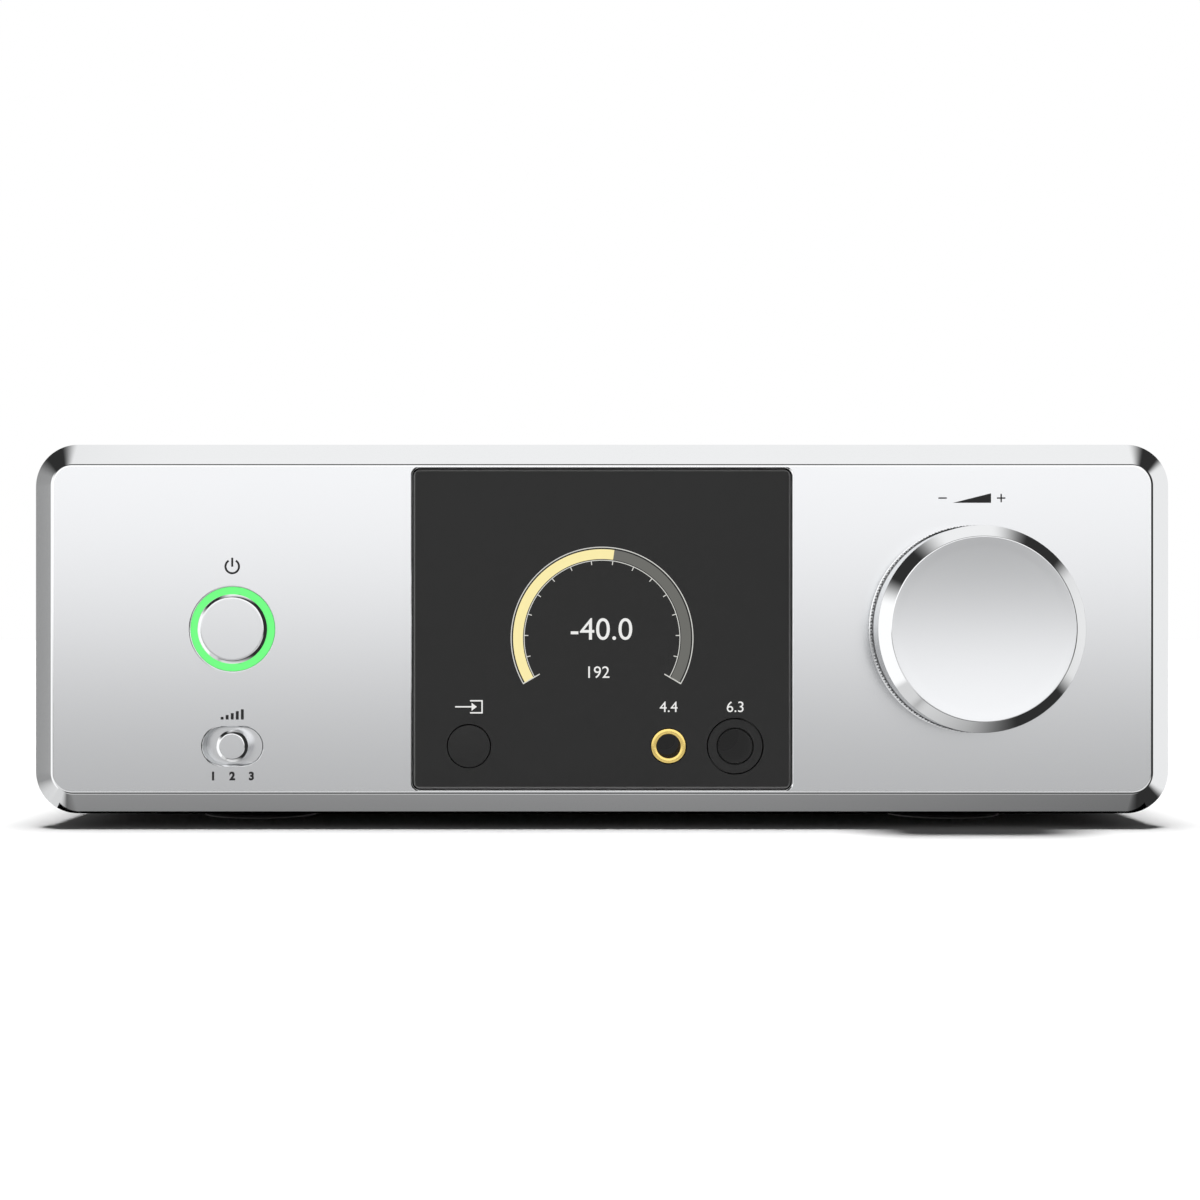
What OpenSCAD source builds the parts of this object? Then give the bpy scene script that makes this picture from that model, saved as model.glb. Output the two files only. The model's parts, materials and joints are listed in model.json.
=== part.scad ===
// Desktop headphone amplifier: a low aluminium case on four round feet, with a power button, a gain switch,
// a display window with two headphone jacks and a large volume knob in front, and its sockets behind.
// Millimetres. +Z up, the front faces -Y. The origin is under the middle of the object, on the surface it stands on.

/* [Case] */
// Width of the front panel
case_w = 215; // [200:1:260]
// Height of the front panel
case_h = 70; // [68:1:90]
// Depth from the front panel's face to the rear panel's face
case_d = 235.5; // [228:0.5:300]
// Clear height under the front panel
foot_h = 2.7; // [2.4:0.1:8]
// Corner radius of the front panel's outline
corner_r = 8; // [6:0.5:12]
// Wall of the folded cover and tray
skin_t = 1.6; // [1.2:0.1:2.5]
// How far the cover and tray stand in from the front panel's outline
skin_inset = 1; // [0.5:0.1:3]
// Height of the seam between tray and cover above the tray's underside
seam_h = 14; // [13:0.5:20]

/* [Front panel] */
// Thickness of the front panel
panel_t = 8; // [7:0.5:12]
// Width of the broad bevel round the panel's face
bevel = 4.05; // [2:0.05:5]
// Width of the fine edge between the face and the bevel
fine_edge = 0.2; // [0.1:0.05:0.5]
// Width of the pocket for the display window
window_w = 71.3; // [69:0.1:90]
// Strip of face left above and below the window
window_margin = 0.55; // [0.4:0.05:4]
// Thickness of the display window
window_t = 3; // [2:0.1:3.4]

/* [Controls] */
// Radius of the volume knob's smooth body
knob_r = 19; // [14:0.5:24]
// Height of the volume knob
knob_h = 11.5; // [10.5:0.5:22]
// Height of the knurled band at the knob's foot
grip_h = 2.7; // [1.5:0.1:5]
// Radius of the power button
power_r = 6.55; // [5:0.05:9]
// How far the power button stands out of the panel
power_proud = 0.4; // [0:0.1:1]
// Travel of the power button
power_travel = 1; // [0.5:0.1:1]
// Radius of the source button
source_r = 4; // [3:0.1:4.5]
// Travel of the source button
source_travel = 0.8; // [0.4:0.1:0.8]
// Radius of the gain switch's knob
gain_r = 3; // [2:0.1:3.2]
// Distance between two positions of the gain switch
gain_step = 2.4; // [1.5:0.1:2.5]
// Drop from the panel's centre to the lower row of controls
lower_drop = 22; // [20:0.5:22]
// Bore radius of the 4.4 mm balanced jack
balanced_r = 2.25; // [2.2:0.05:2.3]
// Bore radius of the 6.35 mm stereo jack
stereo_r = 3.25; // [3.2:0.05:3.3]

/* [Inside] */
// Outer radius of the toroidal transformer
toroid_r = 38; // [30:1:44]
// Height of the toroidal transformer
toroid_h = 34; // [25:1:45]
// Thickness of every circuit board
board_t = 1.6; // [1:0.1:2]
// Height of the standoffs under the large boards
standoff_h = 6; // [4:0.5:10]

/* [Hidden] */
$fn = 64;

// Clearances
gap = 0.15;          // window in its pocket, and other fixed pieces in their cut-outs
slide = 0.1;         // radial clearance round a push button
running = 0.05;      // radial clearance round a turning shaft
seat = 0.1;          // rest gap behind a retaining flange
eps = 0.01;          // overrun of a cut past a face

// Frame: heights and depths that other values are worked out from
sub_t = 2;                                           // front subframe's thickness
rear_t = 2;                                          // rear panel's thickness
knob_gap = 0.5;                                      // knob's foot to the panel's face
rca_out = 9.5;                                       // how far the phono sockets stand out at the back
total_d = knob_gap + knob_h + case_d + rca_out;
y_face = -total_d / 2 + knob_h + knob_gap;
y_back = y_face + panel_t;
y_sub = y_back + sub_t;
y_rear = y_face + case_d;
y_rear_in = y_rear - rear_t;
z_mid = foot_h + case_h / 2;
z_low = z_mid - lower_drop;

// Front panel
bevel_edge = [[bevel + fine_edge, 0], [bevel, fine_edge * 0.6], [0, bevel + fine_edge * 0.6]];
face_w = case_w - 2 * (bevel + fine_edge);
face_h = case_h - 2 * (bevel + fine_edge);
window_h = face_h - 2 * window_margin;
window_r = 1.4;
window_seat = 0.1;                                   // adhesive behind the window
ledge = 2.5;                                         // rebate that the window sits on
control_x = (window_w + face_w) / 4;                 // middle of the plain panel on each side of the window
source_x = 25;
balanced_x = 12.5;
stereo_x = 25;

// Sleeve: the tube that cover and tray form together
skin_w = case_w - 2 * skin_inset;
skin_h = case_h - 2 * skin_inset;
skin_r = corner_r - skin_inset;
z_tray = foot_h + skin_inset;                        // underside of the tray
z_floor = z_tray + skin_t;                           // top of the tray's floor
z_roof = foot_h + case_h - skin_inset - skin_t;      // underside of the cover
z_seam = z_tray + seam_h;
seam_gap = 0.3;
y_skin = y_back + 0.05;
y_skin_end = y_rear + 1;
inner_w = skin_w - 2 * skin_t;
inner_h = skin_h - 2 * skin_t;
inner_r = max(skin_r - skin_t, 1);

// Side rails
rail_w = 8;
rail_h = 16;
rail_x = inner_w / 2 - 0.05;                         // outer face of a rail
rail_z = z_floor + inner_r - 0.1;                    // underside of a rail, above the folded corner
rail_screw_z = [rail_z + 4, rail_z + 12];
tray_screw_z = (rail_z + z_seam) / 2;
cover_screw_z = (z_seam + seam_gap + rail_z + rail_h) / 2;
case_screw_y = [y_sub + 22, (y_sub + y_rear) / 2, y_rear - 22];

// Power button and its light ring
ring_in = power_r + slide;
ring_out = power_r + 1.3;
ring_flange = ring_out + 1.65;
ring_flange_t = 1.5;
ring_recess = 0.8;                                   // ring's front below the panel's face
button_flange_r = ring_in + 1.35;
button_flange_t = 1;

// Gain switch
gain_slot_h = 2 * gain_r + 1.1;
gain_slot_w = 2 * (gain_r + gain_step) + 0.4;
gain_proud = 0.5;                                    // pin in front of the panel's face
gain_depth = 3.5;                                    // front of the slider's plate below the face
gain_plate_w = gain_slot_w + 2 * gain_step + 1;
gain_plate_h = gain_slot_h + 2;
gain_plate_t = 1.2;
gain_block = [4.6, 4];
gain_pin = 2;

// Front boards
y_control = y_sub + 9;                               // front of the control and encoder boards
y_display = y_sub + 2.5;                             // front of the display board
switch_t = 3.6;
switch_w = 6.2;
plunger_r = 1.7;
control_board = [44, 46];
display_board_w = 68;

// Volume control
grip_r = knob_r + 0.45;
knob_bevel = 2.1;
knob_dish = 0.6;                                     // hollow of the knob's face
knob_wall = 3;
groove = 0.4;                                        // groove between the smooth and the knurled band
hub_r = 6.5;
shaft_r = 3;
bushing_r = 4.4;
encoder_t = 7;
nut_pocket_r = 9;
nut_pocket_t = 4.5;

// Jacks
jack_board_z = z_low - 9.1;                          // underside of the jack board
jack_body_t = 30;

// Feet
foot_r = 14;
foot_pad_r = 11.6;
foot_pad_h = 1.6;
foot_rim_h = 0.9;                                    // foot's rim above the ground
foot_x = 69.5;
foot_front = 29;                                     // foot centre behind the panel's broad edge
foot_y = [y_face + bevel + foot_front, y_rear - foot_front];

// Large boards: [x0, y0, x1, y1]
board_z = z_floor + standoff_h;
board_top = board_z + board_t;
y_mid = y_face + 118.5;                              // line between the front and rear groups of boards
power_area = [-92, y_mid, -48, y_mid + 86];
main_area = [-44, y_mid, 92, y_rear_in - 3];
amp_area = [-8, y_mid - 70, 92, y_mid - 6];
toroid_at = [-50, y_mid - 8 - toroid_r];
toroid_pad_t = 1.5;
fixing_inset = 5;

// Rear sockets: x positions, seen from the front
inlet_x = -72;
inlet_z = z_mid + 2;
usb_x = -22;
optical_x = -5;
coax_x = 9;
line_in_x = 24;
line_out_x = 38.5;
xlr_x = [60.5, 88];
xlr_z = z_mid + 4.5;
rca_low_z = board_top + 11;
rca_high_z = rca_low_z + 20;
rca_places = [
    [coax_x, rca_low_z],
    [line_in_x, rca_low_z], [line_in_x, rca_high_z],
    [line_out_x, rca_low_z], [line_out_x, rca_high_z]
];
rca_shell_r = 4.15;
rca_shell_t = 0.6;
rca_flange_r = 5.6;
rca_bore_r = 1.65;
usb_size = [12, 11];
usb_z = board_top + usb_size[1] / 2;
optical_size = [13.2, 12];
optical_z = board_top + optical_size[1] / 2;
optical_hole = [9.8, 8.8];
optical_cavity_t = 11.5;
flap_t = 0.8;
flap_pin_r = 0.5;
flap_turn = 85;                                      // how far the shutter opens, in degrees
flap_axis = [y_rear - 0.3, optical_z + optical_hole[1] / 2 - 0.75];
inlet_hole = [24.2, 16.6];
inlet_flange = [50, 23];
inlet_pin_t = 16;
xlr_hole_r = 8.3;
xlr_shell_r = 11.6;
xlr_flange = [26, 31];
xlr_depth = 15;
xlr_flange_t = 2;
xlr_screw_at = [for (x = xlr_x, s = [-1, 1]) [x + s * 9.5, xlr_z + s * 12]];
inlet_flange_t = 2.6;
inlet_screw_at = [for (s = [-1, 1]) [inlet_x + s * 20, inlet_z]];

// ---- shapes that repeat ----

module rounded_rect(w, h, r) {
    square([w - 2 * r, h], center = true);
    square([w, h - 2 * r], center = true);
    for (sx = [-1, 1], sy = [-1, 1])
        translate([sx * (w / 2 - r), sy * (h / 2 - r)]) circle(r);
}

// A 2D shape in X and Z, as a plate from y0 to y1
module plate(y0, y1) {
    translate([0, y1, 0]) rotate([90, 0, 0]) linear_extrude(y1 - y0) children();
}

// A round bar along Y
module bar_y(r, x, z, y0, y1) {
    translate([x, y1, z]) rotate([90, 0, 0]) cylinder(r = r, h = y1 - y0);
}

// A box between two corners
module box(low, high) {
    translate(low) cube(high - low);
}

// A turned piece on an axis along Y. Profile points are [radius, height towards the front].
module turned(x, y, z, profile) {
    translate([x, y, z]) rotate([90, 0, 0]) rotate_extrude() polygon(profile);
}

// A rounded plate whose front edge steps in. Edge points are [inset, depth], from the face backwards.
module bevelled_plate(w, h, r, t, edge) {
    side = concat(edge, [[0, t]]);
    last = len(side) - 1;
    translate([r - w / 2, 0, 0]) rotate([90, 0, 90]) linear_extrude(w - 2 * r)
        polygon(concat([for (e = side) [e[1], h / 2 - e[0]]],
                       [for (i = [last:-1:0]) [side[i][1], side[i][0] - h / 2]]));
    translate([0, 0, r - h / 2]) linear_extrude(h - 2 * r)
        polygon(concat([for (e = side) [w / 2 - e[0], e[1]]],
                       [for (i = [last:-1:0]) [side[i][0] - w / 2, side[i][1]]]));
    for (sx = [-1, 1], sz = [-1, 1])
        translate([sx * (w / 2 - r), 0, sz * (h / 2 - r)]) rotate([90, 0, 0]) rotate_extrude()
            polygon(concat([[0, 0]], [for (e = side) [r - e[0], -e[1]]], [[0, -t]]));
}

// A countersunk screw. Its head's face is at z = 0 and its shank runs to -z.
module countersunk(r, head_r, length) {
    difference() {
        union() {
            translate([0, 0, -(head_r - r)]) cylinder(r1 = r, r2 = head_r, h = head_r - r);
            translate([0, 0, -length]) cylinder(r = r, h = length - (head_r - r) + eps);
        }
        translate([0, 0, -(head_r - r) * 0.8]) cylinder(r = r * 0.75, h = head_r, $fn = 6);
    }
}

// The hole that a countersunk screw goes through
module countersink(r, head_r, length) {
    translate([0, 0, -(head_r - r)]) cylinder(r1 = r + gap / 2, r2 = head_r + gap / 2, h = head_r - r);
    translate([0, 0, -gap / 100]) cylinder(r = head_r + gap / 2, h = 1);
    translate([0, 0, -length]) cylinder(r = r + gap / 2, h = length);
}

// A pan-head screw. The underside of its head is at z = 0 and its shank runs to -z.
module pan_screw(r, length) {
    difference() {
        union() {
            cylinder(r = 2 * r, h = r * 1.1);
            translate([0, 0, -length]) cylinder(r = r, h = length + eps);
        }
        for (a = [0, 90])
            rotate(a) translate([-r * 1.3, -r * 0.2, r * 0.5]) cube([r * 2.6, r * 0.4, r]);
    }
}

// Smooth curve through a list of points, steps rings for each stretch
function curve_point(a, b, c, d, t) =
    0.5 * (2 * b + (c - a) * t + (2 * a - 5 * b + 4 * c - d) * t * t + (3 * b - a - 3 * c + d) * t * t * t);
function curve(p, steps) = concat(
    [for (i = [0:len(p) - 2], k = [0:steps - 1])
        curve_point(p[max(i - 1, 0)], p[i], p[i + 1], p[min(i + 2, len(p) - 1)], k / steps)],
    [p[len(p) - 1]]);
function unit(v) = v / norm(v);
function across(v) = unit(cross(v, abs(v[2]) < 0.9 * norm(v) ? [0, 0, 1] : [1, 0, 0]));

// A round tube swept along a curve
module tube(route, r, steps = 4, sides = 8) {
    p = curve(route, steps);
    last = len(p) - 1;
    points = [for (i = [0:last])
        let (t = unit(p[min(i + 1, last)] - p[max(i - 1, 0)]), u = across(t), v = cross(u, t))
        for (k = [0:sides - 1]) p[i] + r * (cos(360 * k / sides) * u + sin(360 * k / sides) * v)];
    faces = concat(
        [[for (k = [0:sides - 1]) k]],
        [[for (k = [sides - 1:-1:0]) last * sides + k]],
        [for (i = [0:last - 1], k = [0:sides - 1])
            [i * sides + k, (i + 1) * sides + k, (i + 1) * sides + (k + 1) % sides, i * sides + (k + 1) % sides]]);
    polyhedron(points, faces);
}

// A flat cable: a strip of constant thickness along a bent line in the plane, as a 2D shape
function side_of(p, i) = let (d = unit(p[i + 1] - p[i])) [-d[1], d[0]];
function mitre(p, i) =
    let (a = side_of(p, max(i - 1, 0)), b = side_of(p, min(i, len(p) - 2)), m = unit(a + b)) m / (m * a);
module strip(p, t = 0.35) polygon(concat(
    [for (i = [0:len(p) - 1]) p[i] + mitre(p, i) * t / 2],
    [for (i = [len(p) - 1:-1:0]) p[i] - mitre(p, i) * t / 2]));

// ---- front panel and display ----

front_screw_at = [for (sx = [-1, 1], sz = [-1, 1]) [sx * (case_w / 2 - 19), z_mid + sz * (face_h / 2 - 5)]];
rail_screw_at = [for (sx = [-1, 1], z = rail_screw_z) [sx * (rail_x - rail_w / 2), z]];

module gain_slot_2d(extra = 0) {
    translate([-control_x, z_low])
        rounded_rect(gain_slot_w + 2 * extra, gain_slot_h + 2 * extra, gain_slot_h / 2 + extra - eps);
}

module front_panel() color("silver") difference() {
    translate([0, y_face, z_mid]) bevelled_plate(case_w, case_h, corner_r, panel_t, bevel_edge);
    plate(y_face - eps, y_face + window_t + window_seat)
        translate([0, z_mid]) rounded_rect(window_w, window_h, window_r);
    plate(y_face, y_back + eps)
        translate([0, z_mid]) rounded_rect(window_w - 2 * ledge, window_h - 2 * ledge, window_r);
    bar_y(ring_out + slide, -control_x, z_mid, y_face - 1, y_back + 1);
    bar_y(ring_flange + slide, -control_x, z_mid, y_back - ring_flange_t - seat, y_back + 1);
    plate(y_face - 1, y_back + 1) gain_slot_2d();
    plate(y_face + gain_depth - seat, y_back + 1) translate([-control_x, z_low])
        square([gain_plate_w + 2 * gain_step + 0.6, gain_plate_h + 0.4], center = true);
    bar_y(shaft_r + 1, control_x, z_mid, y_face - 1, y_back + 1);
    bar_y(nut_pocket_r, control_x, z_mid, y_back - nut_pocket_t, y_back + 1);
    for (p = front_screw_at) bar_y(1.5, p[0], p[1], y_back - 5, y_back + 1);
    for (p = rail_screw_at) bar_y(3.75, p[0], p[1], y_back - 0.5, y_back + 1);
}

module display_window() color("#2b2b2b") difference() {
    translate([0, y_face, z_mid])
        bevelled_plate(window_w - 2 * gap, window_h - 2 * gap, window_r - gap, window_t, [[0.45, 0], [0, 0.3]]);
    bar_y(source_r + slide, -source_x, z_low, y_face - 1, y_face + window_t + 1);
    bar_y(balanced_r + 1.03 + slide, balanced_x, z_low, y_face - 1, y_face + window_t + 1);
    bar_y(stereo_r + 1.95 + slide, stereo_x, z_low, y_face - 1, y_face + window_t + 1);
}

// Display panel: a glass with its frame, glued behind the window
lcd = [57, 38];
lcd_z = z_mid + 3.5;
module lcd_module() color("#202022") difference() {
    plate(y_face + window_t + window_seat, y_face + window_t + window_seat + 3.6)
        translate([0, lcd_z]) rounded_rect(lcd[0], lcd[1], 1);
    plate(y_face, y_face + window_t + window_seat + 0.4)
        translate([0, lcd_z]) square([lcd[0] - 4, lcd[1] - 3], center = true);
}

module front_boards() color("darkgreen") {
    difference() {
        plate(y_control, y_control + board_t) translate([-control_x, z_mid])
            rounded_rect(control_board[0], control_board[1], 1);
        for (p = control_fixings) bar_y(1.6, p[0], p[1], y_control - 1, y_control + board_t + 1);
    }
    difference() {
        plate(y_display, y_display + board_t) {
            translate([-display_board_w / 2, z_low + 8])
                square([display_board_w, lcd_z + lcd[1] / 2 + 5 - z_low - 8]);
            translate([-source_x - 9, z_low - 6]) square([15, 18]);
        }
        for (p = display_fixings) bar_y(1.6, p[0], p[1], y_display - 1, y_display + board_t + 1);
    }
    plate(y_sub + encoder_t, y_sub + encoder_t + board_t)
        translate([control_x, z_mid]) rounded_rect(26, 22, 1);
}
control_fixings = [for (sx = [-1, 1], sz = [-1, 1])
    [-control_x + sx * (control_board[0] / 2 - 4), z_mid + sz * (control_board[1] / 2 - 4)]];
display_fixings = [for (sx = [-1, 1], z = [lcd_z + lcd[1] / 2 + 2, lcd_z - lcd[1] / 2 + 4])
    [sx * (display_board_w / 2 - 2.3), z]];
sub_opening = [window_w - 2 * ledge - 4, window_h - 2 * ledge];

module front_subframe() color("gainsboro") difference() {
    plate(y_back, y_sub) translate([0, z_mid]) rounded_rect(inner_w - 0.6, inner_h - 0.6, inner_r);
    plate(y_back - 1, y_sub + 1) translate([0, z_mid]) rounded_rect(sub_opening[0], sub_opening[1], 1);
    bar_y(power_r + slide, -control_x, z_mid, y_back - 1, y_sub + 1);
    plate(y_back - 1, y_sub + 1) translate([-control_x, z_low])
        square([gain_block[0] + 2 * gain_step + 0.6, gain_block[1] + 0.6], center = true);
    bar_y(bushing_r + running, control_x, z_mid, y_back - 1, y_sub + 1);
    for (p = front_screw_at) bar_y(1.65, p[0], p[1], y_back - 1, y_sub + 1);
    for (p = rail_screw_at) translate([p[0], y_back, p[1]]) rotate([90, 0, 0]) countersink(1.9, 3.5, 6);
}

module front_screws() color("dimgray")
    for (p = front_screw_at) translate([p[0], y_sub, p[1]]) rotate([-90, 0, 0]) pan_screw(1.45, 6);

// ---- power button ----

module power_button() color("silver") turned(-control_x, y_face, z_mid, [
    [0, power_proud], [power_r - 0.6, power_proud], [power_r, power_proud - 0.6],
    [power_r, y_face - y_sub - seat], [button_flange_r, y_face - y_sub - seat],
    [button_flange_r, y_face - y_sub - seat - button_flange_t], [0, y_face - y_sub - seat - button_flange_t]
]);

module power_light_ring() color("#66ff80") turned(-control_x, y_face, z_mid, [
    [ring_in, -ring_recess], [ring_out, -ring_recess], [ring_out, ring_flange_t - panel_t],
    [ring_flange, ring_flange_t - panel_t], [ring_flange, -panel_t], [ring_in, -panel_t]
]);

// Plunger of a push switch whose board starts at y_board
module plunger(x, z, y_start, y_board, travel) bar_y(plunger_r, x, z, y_start, y_board - 0.6 - travel);

module power_plunger() color("#303030")
    plunger(-control_x, z_mid, y_sub + seat + button_flange_t + running, y_control, power_travel);

module button_switch(x, z, y_board) difference() {
    translate([x - switch_w / 2, y_board - switch_t, z - switch_w / 2]) cube([switch_w, switch_t, switch_w]);
    bar_y(plunger_r + slide, x, z, y_board - switch_t - 1, y_board - 0.4);
}

module button_switches() color("#1c1c1c") {
    button_switch(-control_x, z_mid, y_control);
    button_switch(-source_x, z_low, y_display);
}

// ---- gain switch ----

y_gain_plate = y_face + gain_depth;
y_gain_end = y_sub + 3;
gain_switch_t = 4.4;

module gain_slider() color("silver") difference() {
    union() {
        turned(-control_x, y_face, z_low, [
            [0, gain_proud], [gain_r - 0.6, gain_proud], [gain_r, gain_proud - 0.6],
            [gain_r, -gain_depth - 0.5], [0, -gain_depth - 0.5]]);
        plate(y_gain_plate, y_gain_plate + gain_plate_t) translate([-control_x, z_low])
            square([gain_plate_w, gain_plate_h], center = true);
        plate(y_gain_plate, y_gain_end) translate([-control_x, z_low])
            square(gain_block, center = true);
    }
    plate(y_gain_end - 4, y_gain_end + 1) translate([-control_x, z_low])
        square(gain_pin + 0.1, center = true);
}

module gain_actuator() color("#f0f0f0") plate(y_gain_end - 3.8, y_control - 1.2)
    translate([-control_x, z_low]) square(gain_pin, center = true);

module gain_switch() color("gray") difference() {
    plate(y_control - gain_switch_t, y_control) translate([-control_x, z_low]) square([14, 6], center = true);
    plate(y_control - gain_switch_t - 1, y_control - 1) translate([-control_x, z_low])
        square([gain_pin + 2 * gain_step + 0.3, gain_pin + 0.2], center = true);
}

// ---- source button ----

y_source_back = y_face + window_t + seat + 1;

module source_button() color("#2a2a2a") turned(-source_x, y_face, z_low, [
    [0, 0], [source_r - 0.15, 0], [source_r, -0.15], [source_r, -window_t - seat],
    [source_r + 1, -window_t - seat], [source_r + 1, y_face - y_source_back], [0, y_face - y_source_back]
]);

module source_plunger() color("#303030") plunger(-source_x, z_low, y_source_back + running, y_display, source_travel);

// ---- volume control ----

knob_back = y_face - knob_gap;
knob_inner_h = knob_h - knob_wall - 0.5;
knob_face_r = knob_r - knob_bevel;

module volume_knob() color("silver") difference() {
    turned(control_x, knob_back, z_mid, concat(
        [for (i = [0:8]) [knob_face_r * i / 8, knob_h - knob_dish * (1 - pow(i / 8, 2))]],
        [[knob_r, knob_h - knob_bevel], [knob_r, grip_h + groove], [knob_r - groove, grip_h + groove],
         [knob_r - groove, grip_h], [grip_r, grip_h], [grip_r, 0],
         [knob_r - knob_wall, 0], [knob_r - knob_wall, knob_inner_h], [hub_r, knob_inner_h], [hub_r, 0.3],
         [shaft_r + 0.02, 0.3], [shaft_r + 0.02, knob_inner_h], [0, knob_inner_h]]));
    translate([control_x, knob_back - set_screw_h, z_mid - grip_r - 1]) cylinder(r = 1.5, h = grip_r - 1.5);
}
set_screw_h = grip_h + 2;

module knob_set_screw() color("#303030") difference() {
    translate([control_x, knob_back - set_screw_h, z_mid - hub_r + 0.3]) cylinder(r = 1.45, h = hub_r - shaft_r + 0.15);
    translate([control_x, knob_back - set_screw_h, z_mid - hub_r]) cylinder(r = 0.75, h = 2, $fn = 6);
}

module encoder_shaft() color("gainsboro") difference() {
    bar_y(shaft_r, control_x, z_mid, knob_back - knob_inner_h + 0.3, y_sub + encoder_t - 1.5);
    box([control_x - shaft_r, knob_back - knob_inner_h, z_mid - shaft_r - 1],
        [control_x + shaft_r, knob_back, z_mid - shaft_r + 0.5]);
}

module encoder_body() color("#3a3a3a") difference() {
    union() {
        translate([control_x - 7, y_sub, z_mid - 7]) cube([14, encoder_t, 14]);
        bar_y(bushing_r, control_x, z_mid, y_back - nut_pocket_t + 0.5, y_sub + 1);
    }
    bar_y(shaft_r + running, control_x, z_mid, y_back - nut_pocket_t, y_sub + encoder_t - 1.4);
}

module encoder_nut() color("gainsboro") difference() {
    translate([control_x, y_back, z_mid]) rotate([90, 0, 0]) cylinder(r = 6.35, h = 2, $fn = 6);
    bar_y(bushing_r + 0.02, control_x, z_mid, y_back - 3, y_back + 1);
}

// ---- headphone jacks ----

module jack_body(x, r, w, length) difference() {
    plate(y_sub + 0.3, y_sub + 0.3 + length) translate([x, (z_low + 7 + jack_board_z + board_t) / 2])
        square([w, z_low + 7 - jack_board_z - board_t], center = true);
    bar_y(r, x, z_low, y_sub, y_sub + length - 2);
}

module balanced_jack_ring() color("#d9b45a") turned(balanced_x, y_face + 0.1, z_low, [
    [balanced_r, 0], [balanced_r + 0.75, 0], [balanced_r + 1.03, -0.2],
    [balanced_r + 1.03, y_face - y_sub - 0.2], [balanced_r, y_face - y_sub - 0.2]
]);

module balanced_jack_body() color("#1a1a1a") jack_body(balanced_x, balanced_r, 10, 18);

module stereo_jack_collar() color("#1f1f1f") turned(stereo_x, y_face + 0.1, z_low, [
    [stereo_r + 0.25, 0], [stereo_r + 1.75, 0], [stereo_r + 1.95, -0.2],
    [stereo_r + 1.95, y_face - y_sub - 0.2], [stereo_r, y_face - y_sub - 0.2], [stereo_r, -0.4]
]);

module stereo_jack_body() color("#1a1a1a") jack_body(stereo_x, stereo_r, 13.6, jack_body_t);

jack_board_x = [5, 35];
jack_fixings = [for (x = [jack_board_x[0] + 3, jack_board_x[1] - 3]) [x, y_sub + 35]];
module jack_board() color("darkgreen") difference() {
    box([jack_board_x[0], y_sub + 1, jack_board_z], [jack_board_x[1], y_sub + 39, jack_board_z + board_t]);
    for (p = jack_fixings) translate([p[0], p[1], jack_board_z - 1]) cylinder(r = 1.6, h = board_t + 2);
}

// ---- case ----

module sleeve_2d() difference() {
    translate([0, z_mid]) rounded_rect(skin_w, skin_h, skin_r);
    translate([0, z_mid]) rounded_rect(inner_w, inner_h, inner_r);
}

// Countersunk screws through the skin into the rails, at height z
module at_case_screws(z) for (sx = [-1, 1], y = case_screw_y)
    translate([sx * skin_w / 2, y, z]) rotate([0, sx * 90, 0]) children();

module base_tray() color("#8f9294") difference() {
    intersection() {
        plate(y_skin, y_skin_end) sleeve_2d();
        box([-case_w, y_skin - 1, 0], [case_w, y_skin_end + 1, z_seam]);
    }
    at_case_screws(tray_screw_z) countersink(1.45, 2.9, 5);
    for (p = feet_at) translate([p[0], p[1], 0]) cylinder(r = 1.55, h = z_floor + 1);
    translate([toroid_at[0], toroid_at[1], 0]) cylinder(r = 3.2, h = z_floor + 1);
    for (p = concat(board_fixings, jack_fixings))
        translate([p[0], p[1], 0]) cylinder(r = 1.55, h = z_floor + 1);
    for (i = [-5:5])
        translate([46 + i * 7, y_mid - 38, 0]) linear_extrude(z_floor + 1) rounded_rect(2.6, 36, 1.25);
}

vent = [2.4, 52];
module top_cover() color("silver") difference() {
    intersection() {
        plate(y_skin, y_skin_end) sleeve_2d();
        box([-case_w, y_skin - 1, z_seam + seam_gap], [case_w, y_skin_end + 1, z_mid + case_h]);
    }
    at_case_screws(cover_screw_z) countersink(1.45, 2.9, 5);
    for (i = [-7:7], x = [-50, 46])
        translate([x + i * 5.2, y_mid - 38, z_roof - 1]) linear_extrude(skin_t + 2)
            rounded_rect(vent[0], vent[1], vent[0] / 2 - eps);
}

module side_rails() color("gainsboro") for (sx = [-1, 1]) difference() {
    box([min(sx * rail_x, sx * (rail_x - rail_w)), y_sub, rail_z],
        [max(sx * rail_x, sx * (rail_x - rail_w)), y_rear_in, rail_z + rail_h]);
    for (z = rail_screw_z, y = [y_sub, y_rear_in])
        bar_y(1.9, sx * (rail_x - rail_w / 2), z, y - 10, y + 10);
    for (z = [tray_screw_z, cover_screw_z], y = case_screw_y)
        translate([sx * (rail_x + 1), y, z]) rotate([0, -sx * 90, 0]) cylinder(r = 1.45, h = rail_w - 1);
}

module rear_panel() color("#b9bcbe") difference() {
    plate(y_rear_in, y_rear) translate([0, z_mid]) rounded_rect(inner_w - 2 * gap, inner_h - 2 * gap, inner_r);
    plate(y_rear_in - 1, y_rear + 1) {
        translate([inlet_x, inlet_z]) square([inlet_hole[0] + 3.6, inlet_hole[1] + 3.6], center = true);
        translate([usb_x, usb_z]) square(usb_size + [0.4, 0.4], center = true);
        translate([optical_x, optical_z]) square(optical_size + [0.4, 0.4], center = true);
    }
    for (x = xlr_x) bar_y(xlr_shell_r + gap, x, xlr_z, y_rear_in - 1, y_rear + 1);
    for (p = rca_places) bar_y(rca_shell_r + 0.2 + gap, p[0], p[1], y_rear_in - 1, y_rear + 1);
    for (p = rail_screw_at) translate([p[0], y_rear, p[1]]) rotate([-90, 0, 0]) countersink(1.9, 3.5, 6);
    for (p = concat(xlr_screw_at, inlet_screw_at)) bar_y(1.7, p[0], p[1], y_rear_in - 1, y_rear + 1);
}

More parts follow.
